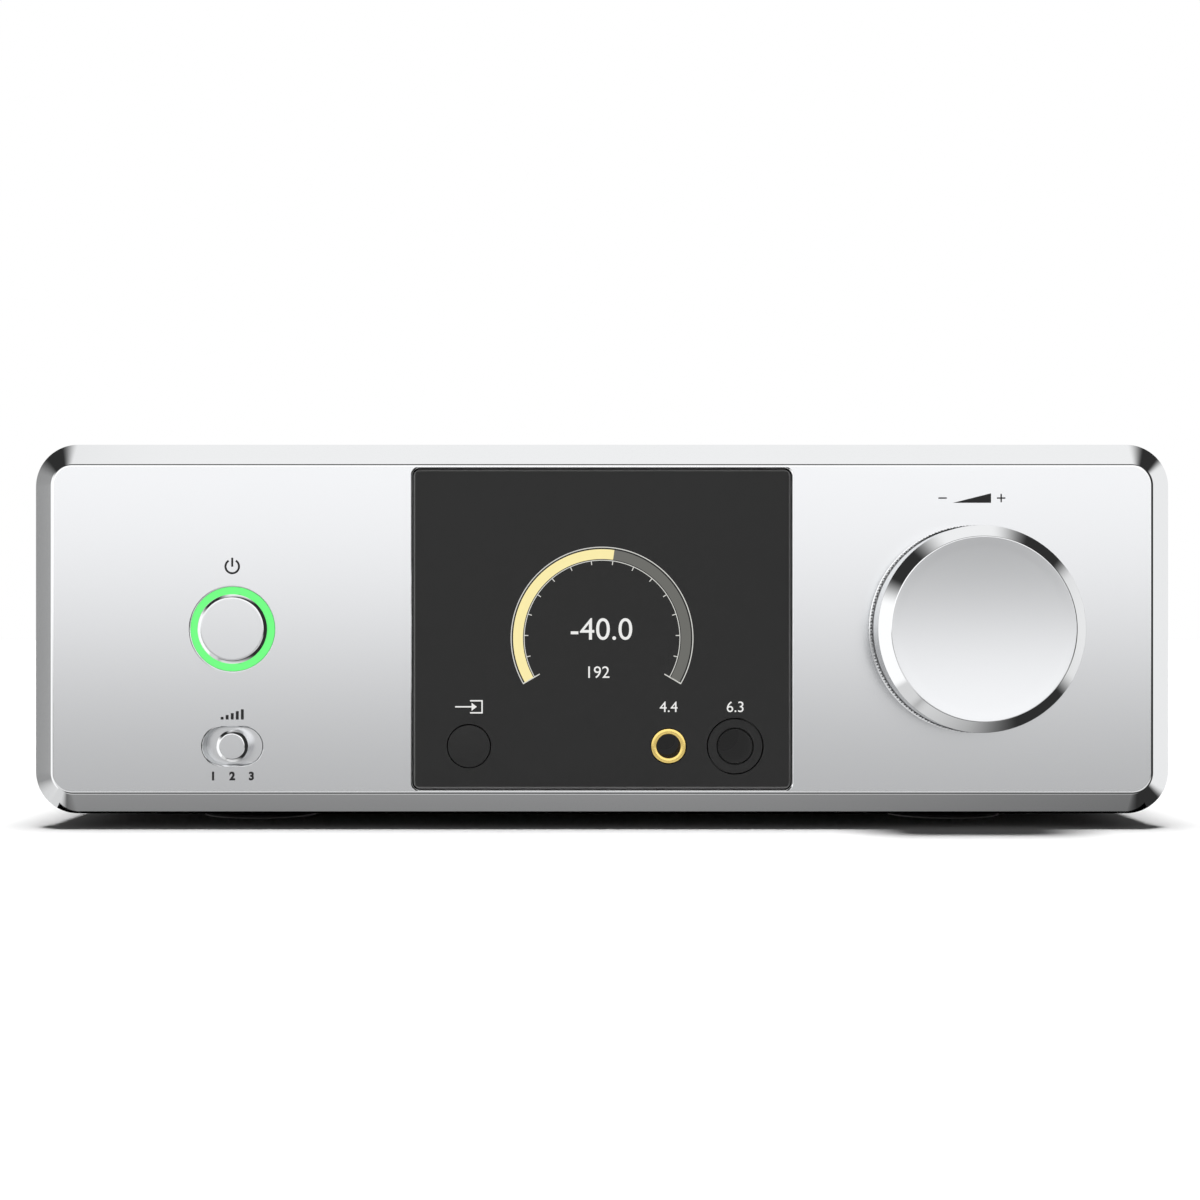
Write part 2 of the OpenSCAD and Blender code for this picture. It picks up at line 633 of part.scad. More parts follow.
feet_at = [for (sx = [-1, 1], y = foot_y) [sx * foot_x, y]];
foot_screw_z = foot_pad_h + 0.1;

module feet() color("#2a2a2a") for (p = feet_at) translate([p[0], p[1], 0]) difference() {
    translate([0, 0, foot_rim_h]) rotate_extrude() polygon([
        [0, 0], [foot_r - 0.6, 0], [foot_r, 0.6],
        [foot_r, z_tray - foot_rim_h], [0, z_tray - foot_rim_h]]);
    cylinder(r = foot_pad_r + slide, h = foot_pad_h);
    translate([0, 0, foot_screw_z]) rotate([180, 0, 0]) countersink(1.5, 2.9, z_tray);
}

module foot_pads() color("#151515") for (p = feet_at) translate([p[0], p[1], 0]) cylinder(r = foot_pad_r, h = foot_pad_h);

module foot_screws() color("dimgray") for (p = feet_at)
    translate([p[0], p[1], foot_screw_z]) rotate([180, 0, 0]) countersunk(1.45, 2.9, z_floor + 1.5 - foot_screw_z);

module case_screws() color("#303234") {
    at_case_screws(tray_screw_z) countersunk(1.4, 2.9, 7);
    at_case_screws(cover_screw_z) countersunk(1.4, 2.9, 7);
}

module panel_screws() color("#303234") {
    for (p = rail_screw_at) {
        translate([p[0], y_back, p[1]]) rotate([90, 0, 0]) countersunk(1.85, 3.5, 10);
        translate([p[0], y_rear, p[1]]) rotate([-90, 0, 0]) countersunk(1.85, 3.5, 10);
    }
    for (p = xlr_screw_at) translate([p[0], y_rear + xlr_flange_t, p[1]]) rotate([-90, 0, 0]) pan_screw(1.5, 7);
    for (p = inlet_screw_at)
        translate([p[0], y_rear + inlet_flange_t, p[1]]) rotate([-90, 0, 0]) countersunk(1.6, 3.2, 8);
}

// ---- boards ----

function corners(a) = [for (x = [a[0] + fixing_inset, a[2] - fixing_inset], y = [a[1] + fixing_inset, a[3] - fixing_inset]) [x, y]];
board_fixings = concat(corners(power_area), corners(main_area), corners(amp_area));

module board(a) difference() {
    box([a[0], a[1], board_z], [a[2], a[3], board_top]);
    for (p = corners(a)) translate([p[0], p[1], board_z - 1]) cylinder(r = 1.6, h = board_t + 2);
}

module power_board() color("darkgreen") board(power_area);
module main_board() color("darkgreen") board(main_area);
module amp_board() color("darkgreen") board(amp_area);

module standoff(z0, z1) difference() {
    translate([0, 0, z0]) cylinder(r = 3, h = z1 - z0, $fn = 6);
    translate([0, 0, z0 - 1]) cylinder(r = 1.5, h = z1 - z0 + 2);
}

module board_standoffs() color("#c9a860") {
    for (p = board_fixings) translate([p[0], p[1], 0]) standoff(z_floor, board_z);
    for (p = jack_fixings) translate([p[0], p[1], 0]) standoff(z_floor, jack_board_z);
    for (p = control_fixings) translate([p[0], 0, p[1]]) rotate([-90, 0, 0]) standoff(y_sub, y_control);
    for (p = display_fixings) translate([p[0], 0, p[1]]) rotate([-90, 0, 0]) standoff(y_sub, y_display);
}

module board_screws() color("gainsboro") {
    for (p = board_fixings) {
        translate([p[0], p[1], board_top]) pan_screw(1.45, board_t + standoff_h / 2 - 0.3);
        translate([p[0], p[1], z_tray]) rotate([180, 0, 0]) pan_screw(1.45, skin_t + standoff_h / 2 - 0.3);
    }
    for (p = jack_fixings)
        translate([p[0], p[1], jack_board_z + board_t]) pan_screw(1.45, jack_board_z + board_t - z_tray);
    for (p = control_fixings) translate([p[0], y_control + board_t, p[1]]) rotate([-90, 0, 0]) pan_screw(1.45, 5);
    for (p = display_fixings) translate([p[0], y_display + board_t, p[1]]) rotate([-90, 0, 0]) pan_screw(1.45, 3.6);
}

// ---- power supply ----

toroid_z = z_floor + toroid_pad_t;
toroid_hole = 12;
toroid_round = 7;

module transformer() color("#d8c25a") translate([toroid_at[0], toroid_at[1], toroid_z]) rotate_extrude()
    translate([(toroid_r + toroid_hole) / 2, toroid_h / 2])
        rounded_rect(toroid_r - toroid_hole, toroid_h, toroid_round);

module transformer_pads() color("#222222") for (z = [z_floor, toroid_z + toroid_h])
    translate([toroid_at[0], toroid_at[1], z]) difference() {
        cylinder(r = toroid_r - toroid_round, h = toroid_pad_t);
        translate([0, 0, -1]) cylinder(r = 3.5, h = toroid_pad_t + 2);
    }

module transformer_mount() color("gainsboro") translate([toroid_at[0], toroid_at[1], 0]) {
    clamp_z = toroid_z + toroid_h + toroid_pad_t;
    translate([0, 0, clamp_z]) rotate_extrude()
        polygon([[3.2, 0], [toroid_r - 12, 0], [toroid_r - 12, 1], [toroid_hole, 2.2], [3.2, 2.2]]);
    translate([0, 0, z_tray - 0.1]) cylinder(r = 3, h = clamp_z + 2.2 + 6 - z_tray);
    translate([0, 0, z_tray - 1.8]) cylinder(r = 5.5, h = 1.8, $fn = 6);
    difference() {
        translate([0, 0, clamp_z + 2.25]) cylinder(r = 5.8, h = 5, $fn = 6);
        translate([0, 0, clamp_z]) cylinder(r = 3.02, h = 10);
    }
}

module capacitor(r, h) rotate_extrude()
    polygon([[0, 0], [r, 0], [r, h - 1], [r - 0.8, h], [r - 1.6, h - 0.3], [0, h - 0.3]]);

module filter_capacitors() color("#26282b") {
    for (x = [12, 33], y = [22, 44])
        translate([power_area[0] + x, power_area[1] + y, board_top]) capacitor(9, 32);
    for (x = [18, 38, 58, 78])
        translate([amp_area[0] + x, amp_area[1] + 52, board_top]) capacitor(5, 20);
    for (x = [64, 78, 92], y = [24, 40])
        translate([main_area[0] + x, main_area[1] + y, board_top]) capacitor(4, 12);
}

module bridge_rectifier() color("#1a1a1a") {
    box([power_area[0] + 12, power_area[1] + 6, board_top + 3], [power_area[0] + 34, power_area[1] + 10, board_top + 20]);
    for (i = [0:3])
        box([power_area[0] + 14.5 + i * 5.2, power_area[1] + 7.4, board_top],
            [power_area[0] + 15.5 + i * 5.2, power_area[1] + 8.4, board_top + 3 + eps]);
}

fuse_at = [power_area[0] + 12, power_area[1] + 60];
module mains_fuse() color("#d6dde0") {
    translate([fuse_at[0], fuse_at[1], board_top + 5]) rotate([0, 90, 0]) cylinder(r = 2.5, h = 20);
    for (x = [0, 15]) difference() {
        translate([fuse_at[0] + x, fuse_at[1] - 3.5, board_top]) cube([5, 7, 6]);
        translate([fuse_at[0] - 1, fuse_at[1], board_top + 5]) rotate([0, 90, 0]) cylinder(r = 2.55, h = 24);
    }
}

// ---- signal boards ----

// A chip: its middle and its footprint
module chip(area, x, y, size, h) translate([area[0] + x - size[0] / 2, area[1] + y - size[1] / 2, board_top])
    cube([size[0], size[1], h]);

module audio_chips() color("#151515") {
    chip(main_area, 22, 66, [12, 12], 1.4);
    chip(main_area, 50, 60, [14, 14], 1.4);
    chip(main_area, 40, 26, [16, 16], 1.6);
    chip(main_area, 20, 30, [8, 6], 1.6);
    for (i = [0:3]) chip(main_area, 70 + i * 15, 62, [5, 6], 1.6);
    for (i = [0:3]) chip(amp_area, 30 + i * 16, 14, [5, 6], 1.6);
}

module output_relays() color("#e2e4e6")
    for (i = [0:1]) chip(amp_area, 18, 13 + i * 16, [15, 12], 10.5);

heatsink_at = [amp_area[0] + 30, amp_area[1] + 30];
module heatsink() color("#2e3033") translate([heatsink_at[0], heatsink_at[1], board_top]) linear_extrude(30) {
    square([62, 3]);
    for (i = [0:10]) translate([i * 6, 0]) square([1.8, 14]);
}

module power_transistors() color("#1d1d1d") for (i = [0:3]) {
    x = heatsink_at[0] + 8 + i * 15.3;
    y = heatsink_at[1] - 0.05;
    box([x - 5, y - 4.4, board_top + 6], [x + 5, y, board_top + 21]);
    for (k = [-1:1]) box([x + k * 2.5 - 0.4, y - 2.6, board_top], [x + k * 2.5 + 0.4, y - 2, board_top + 6 + eps]);
}

// ---- cables inside ----

y_display_rear = y_display + board_t + 0.2;
y_control_rear = y_control + board_t + 0.2;
ribbon_z = z_mid + 1;

module ribbon_cables() color("#c7ccd1") {
    translate([amp_area[0] + fixing_inset + 3.2, 0, 0]) rotate([90, 0, 90])
        linear_extrude(jack_board_x[0] - amp_area[0] - fixing_inset - 3.5) strip([
        [y_display_rear, lcd_z - 14], [y_display_rear + 3, lcd_z - 18],
        [amp_area[1] - 4, board_top + 6], [amp_area[1] + 1, board_top + 1.5], [amp_area[1] + 5, board_top + 0.2]]);
    for (sx = [-1, 1]) translate([0, 0, ribbon_z]) linear_extrude(10) strip([
        [sx * (display_board_w / 2 - 8), y_display_rear], [sx * (display_board_w / 2 + 1), y_display_rear + 1.5],
        [sx * (control_x - 20), (sx < 0 ? y_control_rear : y_sub + encoder_t + board_t + 0.2) + 2.5],
        [sx * (control_x - 11), sx < 0 ? y_control_rear : y_sub + encoder_t + board_t + 0.2]]);
    translate([20, 0, 0]) rotate([90, 0, 90]) linear_extrude(14) strip([
        [amp_area[3] - 3, board_top + 0.2], [amp_area[3] - 1, board_top + 2.5], [main_area[1] + 1, board_top + 2.5],
        [main_area[1] + 3, board_top + 0.2]]);
    translate([0, main_area[1] + 40, 0]) rotate([90, 0, 0]) linear_extrude(14) strip([
        [power_area[2] - 3, board_top + 0.2], [power_area[2] - 1, board_top + 2.5], [main_area[0] + 1, board_top + 2.5],
        [main_area[0] + 3, board_top + 0.2]]);
}

inlet_back = y_rear_in - 20;
lead_r = 1;
module power_leads() color("#8a2d2d") {
    for (i = [-1:1]) tube([
        [inlet_x + i * 7, inlet_back - 5.6, inlet_z - 2 + (i == 0 ? 4 : 0)],
        [inlet_x + i * 7, inlet_back - 10, inlet_z - 2 + (i == 0 ? 4 : 0)],
        [inlet_x + i * 6, inlet_back - 16, inlet_z - 12], [power_area[0] + 20 + i * 6, power_area[3] - 7, board_top + 9],
        [power_area[0] + 20 + i * 6, power_area[3] - 6, board_top + 2]], lead_r);
    for (x = [-12, -6, 0]) tube([
        [toroid_at[0] + x, toroid_at[1] + sqrt(pow(toroid_r, 2) - x * x) + 0.5, toroid_z + 16],
        [toroid_at[0] + x, toroid_at[1] + toroid_r + 4, toroid_z + 16.5],
        [toroid_at[0] + x, power_area[1] + 2, board_top + 13],
        [toroid_at[0] + x, power_area[1] + 2.6, board_top + 0.3]], lead_r);
}

// ---- rear sockets ----

module inlet_hole_2d() polygon([
    [-inlet_hole[0] / 2, -inlet_hole[1] / 2], [inlet_hole[0] / 2, -inlet_hole[1] / 2],
    [inlet_hole[0] / 2, inlet_hole[1] / 2 - 4], [inlet_hole[0] / 2 - 4, inlet_hole[1] / 2],
    [4 - inlet_hole[0] / 2, inlet_hole[1] / 2], [-inlet_hole[0] / 2, inlet_hole[1] / 2 - 4]
]);

module mains_inlet() color("#1b1b1b") difference() {
    union() {
        plate(y_rear + 0.05, y_rear + inlet_flange_t) translate([inlet_x, inlet_z]) rounded_rect(inlet_flange[0], inlet_flange[1], 5);
        plate(inlet_back, y_rear + 1) translate([inlet_x, inlet_z])
            square([inlet_hole[0] + 3.2, inlet_hole[1] + 3.2], center = true);
    }
    plate(y_rear_in - 17, y_rear + 4) translate([inlet_x, inlet_z]) inlet_hole_2d();
    for (p = inlet_screw_at)
        translate([p[0], y_rear + inlet_flange_t, p[1]]) rotate([-90, 0, 0]) countersink(1.65, 3.2, 6);
    for (p = inlet_pins) plate(inlet_back - 1, y_rear_in - 16) translate(p) square([2.1, 4.1], center = true);
}
inlet_pins = [[inlet_x - 7, inlet_z - 2], [inlet_x, inlet_z + 2], [inlet_x + 7, inlet_z - 2]];
xlr_pin_angles = [30, 150, 270];

module connector_pins() color("gainsboro") {
    for (p = inlet_pins) plate(inlet_back - 5, y_rear_in - 17 + inlet_pin_t) translate(p) square([2, 4], center = true);
    for (x = xlr_x, a = xlr_pin_angles)
        bar_y(1.2, x + 4 * cos(a), xlr_z + 4 * sin(a), y_rear - xlr_depth - 5, y_rear - 2);
}

module xlr_sockets() color("#c4c7ca") for (x = xlr_x) difference() {
    union() {
        plate(y_rear + 0.05, y_rear + xlr_flange_t) translate([x, xlr_z]) rounded_rect(xlr_flange[0], xlr_flange[1], 2);
        bar_y(xlr_shell_r, x, xlr_z, y_rear - xlr_depth - 3, y_rear + 1);
    }
    bar_y(xlr_hole_r, x, xlr_z, y_rear - xlr_depth, y_rear + 3);
    for (a = xlr_pin_angles) bar_y(1.22, x + 4 * cos(a), xlr_z + 4 * sin(a), y_rear - xlr_depth - 4, y_rear);
    for (p = xlr_screw_at) bar_y(1.6, p[0], p[1], y_rear - 1, y_rear + 3);
}

module rca_shells() color("#d9b45a") for (p = rca_places) translate([p[0], y_rear_in - 4, p[1]])
    rotate([-90, 0, 0]) rotate_extrude() polygon([
        [rca_shell_r - rca_shell_t, 0], [rca_shell_r + 0.2, 0], [rca_shell_r + 0.2, 4 + rear_t + 0.05],
        [rca_flange_r, 4 + rear_t + 0.05], [rca_flange_r, 4 + rear_t + 1.2], [rca_shell_r, 4 + rear_t + 1.2],
        [rca_shell_r, 4 + rear_t + rca_out], [rca_shell_r - rca_shell_t, 4 + rear_t + rca_out]]);

module rca_inserts() color("#e8e8e6") for (p = rca_places) difference() {
    bar_y(rca_shell_r - rca_shell_t - 0.02, p[0], p[1], y_rear_in - 4, y_rear + rca_out - 1);
    bar_y(rca_bore_r, p[0], p[1], y_rear_in, y_rear + rca_out);
}

module rca_housings() color("#1d1d1d") {
    for (x = [line_in_x, line_out_x]) rca_housing(x, rca_high_z + 8);
    rca_housing(coax_x, rca_low_z + 8);
}
module rca_housing(x, top) difference() {
    box([x - 6.2, y_rear_in - 16, board_top], [x + 6.2, y_rear_in - 0.1, top]);
    for (p = rca_places) bar_y(rca_shell_r + 0.22, p[0], p[1], y_rear_in - 4.02, y_rear_in + 1);
}

module usb_socket() color("gainsboro") {
    difference() {
        plate(y_rear_in - 14, y_rear + 0.6) translate([usb_x, usb_z]) square(usb_size, center = true);
        plate(y_rear_in - 9, y_rear + 1) translate([usb_x, usb_z]) polygon([
            [-4.2, -3.9], [4.2, -3.9], [4.2, 2.3], [2.6, 3.9], [-2.6, 3.9], [-4.2, 2.3]]);
    }
    plate(y_rear_in - 9.5, y_rear - 1) translate([usb_x, usb_z]) square([5.6, 3], center = true);
}

module optical_socket() color("#1b1b1b") difference() {
    plate(y_rear_in - 16, y_rear + 0.6) translate([optical_x, optical_z]) square(optical_size, center = true);
    plate(y_rear - optical_cavity_t, y_rear + 1) translate([optical_x, optical_z]) square(optical_hole, center = true);
    translate([optical_x - 5.6, flap_axis[0], flap_axis[1]]) rotate([0, 90, 0]) cylinder(r = flap_pin_r + 0.06, h = 11.2);
}

module optical_shutter() color("#2c2c2c") {
    translate([optical_x - 5.5, flap_axis[0], flap_axis[1]]) rotate([0, 90, 0]) cylinder(r = flap_pin_r, h = 11);
    box([optical_x - optical_hole[0] / 2 + 0.15, flap_axis[0] - flap_t / 2, optical_z - optical_hole[1] / 2 + 0.15],
        [optical_x + optical_hole[0] / 2 - 0.15, flap_axis[0] + flap_t / 2, flap_axis[1] + eps]);
}

front_panel();
display_window();
lcd_module();
front_boards();
front_subframe();
front_screws();
power_button();
power_plunger();
power_light_ring();
button_switches();
gain_slider();
gain_actuator();
gain_switch();
source_button();
source_plunger();
volume_knob();
knob_set_screw();
encoder_shaft();
encoder_body();
encoder_nut();
balanced_jack_ring();
balanced_jack_body();
stereo_jack_collar();
stereo_jack_body();
jack_board();
base_tray();
top_cover();
side_rails();
rear_panel();
feet();
foot_pads();
foot_screws();
case_screws();
panel_screws();
board_standoffs();
board_screws();
transformer();
transformer_pads();
transformer_mount();
power_board();
filter_capacitors();
bridge_rectifier();
mains_fuse();
main_board();
audio_chips();
amp_board();
output_relays();
heatsink();
power_transistors();
ribbon_cables();
power_leads();
mains_inlet();
connector_pins();
xlr_sockets();
rca_shells();
rca_inserts();
rca_housings();
usb_socket();
optical_socket();
optical_shutter();
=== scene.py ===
# %% [markdown]
# # A desktop headphone amplifier
# A low silver case stands on four round feet. Its thick front panel has a broad polished bevel, a power
# button in a green light ring, a gain switch, a black display window with two headphone jacks, and a
# large volume knob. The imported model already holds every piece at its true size. This lesson gives the
# visible pieces fine edges and every surface its finish, and nothing here moves a piece of the model.

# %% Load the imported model
import json
import math
import bmesh
import bpy
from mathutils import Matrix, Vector

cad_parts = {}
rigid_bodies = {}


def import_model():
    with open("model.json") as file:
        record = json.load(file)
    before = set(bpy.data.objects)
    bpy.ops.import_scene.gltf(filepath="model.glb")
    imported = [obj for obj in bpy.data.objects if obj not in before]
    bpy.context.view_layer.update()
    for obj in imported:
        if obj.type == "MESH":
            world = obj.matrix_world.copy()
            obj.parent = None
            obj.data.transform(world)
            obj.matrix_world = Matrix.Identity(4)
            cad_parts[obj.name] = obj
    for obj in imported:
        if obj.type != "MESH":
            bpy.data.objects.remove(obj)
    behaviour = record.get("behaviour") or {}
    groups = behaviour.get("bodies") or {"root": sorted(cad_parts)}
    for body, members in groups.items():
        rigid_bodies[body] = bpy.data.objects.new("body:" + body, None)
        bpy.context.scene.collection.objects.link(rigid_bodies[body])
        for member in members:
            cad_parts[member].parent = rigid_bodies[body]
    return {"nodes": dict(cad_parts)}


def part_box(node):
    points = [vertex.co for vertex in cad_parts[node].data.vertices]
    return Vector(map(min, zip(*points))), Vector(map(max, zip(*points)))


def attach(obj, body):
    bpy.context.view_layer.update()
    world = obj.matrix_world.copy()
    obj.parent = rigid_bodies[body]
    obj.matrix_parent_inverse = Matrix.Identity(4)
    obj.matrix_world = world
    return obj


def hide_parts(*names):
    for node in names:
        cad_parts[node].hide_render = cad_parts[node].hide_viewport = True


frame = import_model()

MM = 0.001
scene = bpy.context.scene
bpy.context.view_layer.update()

# %% [markdown]
# ## Where things are
# Places come from the model itself.

# %% Read the driving places
panel_low, panel_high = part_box("front_panel")
window_low, window_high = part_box("display_window")
knob_low, knob_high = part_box("volume_knob")
ring_low, ring_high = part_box("power_light_ring")
power_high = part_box("power_button")[1]
gain_low, gain_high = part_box("gain_slider")
source_low, source_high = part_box("source_button")
gold_low, gold_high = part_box("balanced_jack_ring")
collar_low, collar_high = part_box("stereo_jack_collar")


def middle(low, high):
    return (low + high) / 2


y_face = panel_low.y
z_mid = middle(panel_low, panel_high).z
knob_x = middle(knob_low, knob_high).x
power_x = middle(ring_low, ring_high).x
gain_x = middle(gain_low, gain_high).x
source_x = middle(source_low, source_high).x
balanced_x = middle(gold_low, gold_high).x
stereo_x = middle(collar_low, collar_high).x
z_low = middle(collar_low, collar_high).z
print("panel", [round(v / MM, 1) for v in panel_high - panel_low], "mm, face at y", round(y_face / MM, 1))

# %% [markdown]
# ## The camera
# A catalogue view looks straight at the front from the panel's own height, through a lens a little
# longer than normal. The lens is shifted up instead of tilted, so upright edges stay upright.

# %% Camera
bevel = 4.05 * MM
camera_reach = 0.374  # metres from the lens to the bevel's outer rim
camera_data = bpy.data.cameras.new("camera")
camera_data.sensor_width, camera_data.lens, camera_data.clip_start = 36, 59.1, 0.01
camera_data.shift_x, camera_data.shift_y = -0.0017, 0.0242
camera = bpy.data.objects.new("camera", camera_data)
scene.collection.objects.link(camera)
camera.location = (0, y_face + bevel - camera_reach, z_mid)
camera.rotation_euler = (math.radians(90), 0, 0)
scene.camera = camera
scene.view_settings.view_transform = "Standard"
print("camera at", [round(v, 4) for v in camera.location])

# %% [markdown]
# ## Small helpers for the modelling steps
# Blender's operators work on the active object and on what is selected, so each step starts by
# selecting nothing. In edit mode, faces, edges or corners are picked by their place or direction.

# %% Selecting
def deselect():
    active = bpy.context.view_layer.objects.active
    if active is not None and active.mode != "OBJECT":
        bpy.ops.object.mode_set(mode="OBJECT")
    bpy.ops.object.select_all(action="DESELECT")


def pick(piece):
    deselect()
    piece.select_set(True)
    bpy.context.view_layer.objects.active = piece


def edit(piece, mode="FACE"):
    pick(piece)
    bpy.ops.object.mode_set(mode="EDIT")
    bpy.ops.mesh.select_mode(type=mode)


def choose(piece, kind, test):
    """Select the parts of the mesh that pass a test, in edit mode."""
    mesh = bmesh.from_edit_mesh(piece.data)
    for part in list(mesh.verts) + list(mesh.edges) + list(mesh.faces):
        part.select = False
    parts = {"VERT": mesh.verts, "EDGE": mesh.edges, "FACE": mesh.faces}[kind]
    chosen = [part for part in parts if test(part)]
    for part in chosen:
        part.select = True
    bmesh.update_edit_mesh(piece.data)
    return len(chosen)


def whole(operator, **settings):
    """Select the whole mesh that is being edited, then run an operator on it."""
    bpy.ops.mesh.select_all(action="SELECT")
    operator(**settings)


def leave_edit():
    bpy.ops.object.mode_set(mode="OBJECT")


def close_up(threshold=1e-6):
    """Weld the corners that meet, turn every face outwards and leave edit mode."""
    whole(bpy.ops.mesh.remove_doubles, threshold=threshold)
    whole(bpy.ops.mesh.normals_make_consistent, inside=False)
    leave_edit()


def apply_place(piece):
    pick(piece)
    bpy.ops.object.transform_apply(location=True, rotation=True, scale=True)


# %% [markdown]
# Turned parts, such as knobs and rings, come off a lathe: one outline goes once round an axis. The Spin
# tool does the same. The outline is drawn by extruding a single corner from point to point.

# %% Lathe
def draw_through(places, name="drawn"):
    """A chain of corners through the places, still in edit mode."""
    deselect()
    bpy.ops.mesh.primitive_plane_add(size=0.01, location=(0, 0, 0))
    piece = bpy.context.object
    piece.name = name
    edit(piece, "VERT")
    whole(bpy.ops.mesh.merge, type="CENTER")
    bpy.ops.transform.translate(value=places[0])
    for here, there in zip(places, places[1:]):
        bpy.ops.mesh.extrude_region_move(TRANSFORM_OT_translate={"value": there - here})
    return piece


def turned(name, axis_at, outline, steps=128, closed=False):
    """Spin an outline of (radius, distance in front of axis_at) in mm round an axis along Y."""
    x, y, z = axis_at
    places = [Vector((x + radius * MM, y - front * MM, z)) for radius, front in outline]
    piece = draw_through(places, name)
    if closed:
        ends = (places[0], places[-1])
        choose(piece, "VERT", lambda v: any((v.co - end).length < 1e-6 for end in ends))
        bpy.ops.mesh.edge_face_add()
    whole(bpy.ops.mesh.spin, steps=steps, angle=2 * math.pi, center=(x, y, z), axis=(0, 1, 0))
    close_up()
    return piece


# %% [markdown]
# A real edge is never knife-sharp: a tiny arc joins a flat face and its bevel. That arc catches every
# direction between the two, so it shows as the fine bright or dark line that outlines a machined part.

# %% Arcs at the two edges of a 45-degree bevel
TANGENT = 0.414  # from an arc's end to the corner it replaces, for a radius of 1


def edge_arc(reach, front, radius, steps=5):
    """Points of an arc from a flat face into the bevel; (reach, front) is their corner."""
    turns = [math.radians(45 * i / steps) for i in range(steps + 1)]
    return [(reach - TANGENT * radius + radius * math.sin(t), front - radius + radius * math.cos(t))
            for t in turns]


def rim_arc(reach, front, radius, steps=4):
    """Points of an arc from the bevel into a side; (reach, front) is their corner."""
    turns = [math.radians(45 + 45 * i / steps) for i in range(steps + 1)]
    return [(reach - radius + radius * math.sin(t), front - TANGENT * radius + radius * math.cos(t))
            for t in turns]


# %% [markdown]
# Plates with round corners are sawn from bar and milled: here a cube is stretched to size and the four
# edges that run front to back are bevelled to the corner radius.

# %% Rounded plate
def rounded_plate(name, low, high, radius, segments=24):
    deselect()
    bpy.ops.mesh.primitive_cube_add(size=1, location=middle(Vector(low), Vector(high)))
    piece = bpy.context.object
    piece.name = name
    piece.scale = Vector(high) - Vector(low)
    apply_place(piece)
    edit(piece, "EDGE")
    choose(piece, "EDGE", lambda e: abs(e.verts[0].co.y - e.verts[1].co.y) > 1e-5)
    bpy.ops.mesh.bevel(offset=radius, segments=segments, affect="EDGES", clamp_overlap=False)
    leave_edit()
    return piece


def choose_front(piece):
    edit(piece, "FACE")
    front = min(v.co.y for v in piece.data.vertices)
    choose(piece, "FACE", lambda f: f.normal.y < -0.9 and abs(f.calc_center_median().y - front) < 1e-6)


def flare(piece, grow):
    """Widen a cutter's front at 45 degrees, so that it leaves a small bevel round its hole."""
    choose_front(piece)
    bpy.ops.mesh.extrude_region_move(TRANSFORM_OT_translate={"value": (0, -grow, 0)})
    size = piece.dimensions
    bpy.ops.transform.resize(value=(1 + 2 * grow / size.x, 1, 1 + 2 * grow / size.z),
                             center_override=middle(Vector(piece.bound_box[0]), Vector(piece.bound_box[6])))
    leave_edit()


def step_front_face(piece, steps):
    """Inset the front face again and again. Each step is (inwards, forwards)."""
    choose_front(piece)
    for inwards, forwards in steps:
        bpy.ops.mesh.inset(thickness=inwards, depth=forwards)
    leave_edit()


# %% [markdown]
# Holes are cut with a Boolean: the cutter is a solid of its own, and it is thrown away once the cut is
# applied. A Bevel modifier then breaks every sharp edge by a hair, as a deburring tool would.

# %% Cutting and finishing
def modify(piece, kind, **settings):
    """Add a modifier with its settings and apply it at once."""
    pick(piece)
    modifier = piece.modifiers.new(kind.lower(), kind)
    for key, value in settings.items():
        setattr(modifier, key, value)
    bpy.ops.object.modifier_apply(modifier=modifier.name)


def cut(piece, cutter):
    modify(piece, "BOOLEAN", operation="DIFFERENCE", solver="EXACT", object=cutter)
    bpy.data.objects.remove(cutter)


def break_edges(piece, width, angle=30):
    modify(piece, "BEVEL", width=width, segments=2, limit_method="ANGLE",
           angle_limit=math.radians(angle), use_clamp_overlap=True, harden_normals=False)


def smooth(piece, angle=30):
    """Shade smoothly, but let each broad face keep its own flat direction right up to its edges."""
    pick(piece)
    bpy.ops.object.shade_smooth_by_angle(angle=math.radians(angle))
    modify(piece, "WEIGHTED_NORMAL", mode="FACE_AREA", weight=100, keep_sharp=True)


def join(name, pieces):
    deselect()
    for piece in pieces:
        piece.select_set(True)
    bpy.context.view_layer.objects.active = pieces[0]
    bpy.ops.object.join()
    pieces[0].name = name
    return pieces[0]


# %% [markdown]
# The last steps of a piece: it wears one material or several, some of its faces are painted with the
# second or third, it is attached to the body it rides on, and the nodes that it takes the place of are hidden.

# %% Dressing a piece
def wear(piece, *materials):
    piece.data.materials.clear()
    for material in materials:
        piece.data.materials.append(material)


def paint(piece, index, test):
    """Give the faces that pass a test another of the piece's materials."""
    for face in piece.data.polygons:
        if test(face):
            face.material_index = index


def leans(face):
    """True for a face of a bevel: neither flat like the front nor square to it."""
    return -0.98 < face.normal.y < -0.2


def settle(piece, body, slot, *nodes):
    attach(piece, body)
    if nodes:
        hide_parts(*nodes)


def dress(piece, angle, materials, body, slot, node):
    """Shade a new piece, give it its materials and settle it in the place of a node."""
    smooth(piece, angle)
    wear(piece, *materials)
    settle(piece, body, slot, node)


# %% [markdown]
# ## Materials: small functions
# A shader is a short chain of nodes. One function turns a hex colour into the linear values that the
# renderer works in, one starts a material, and one adds a node with its settings and its links.

# %% Material helpers
def colour(hex_code):
    parts = [int(hex_code[i:i + 2], 16) / 255 for i in (1, 3, 5)]
    linear = [p / 12.92 if p <= 0.04045 else ((p + 0.055) / 1.055) ** 2.4 for p in parts]
    return (*linear, 1)


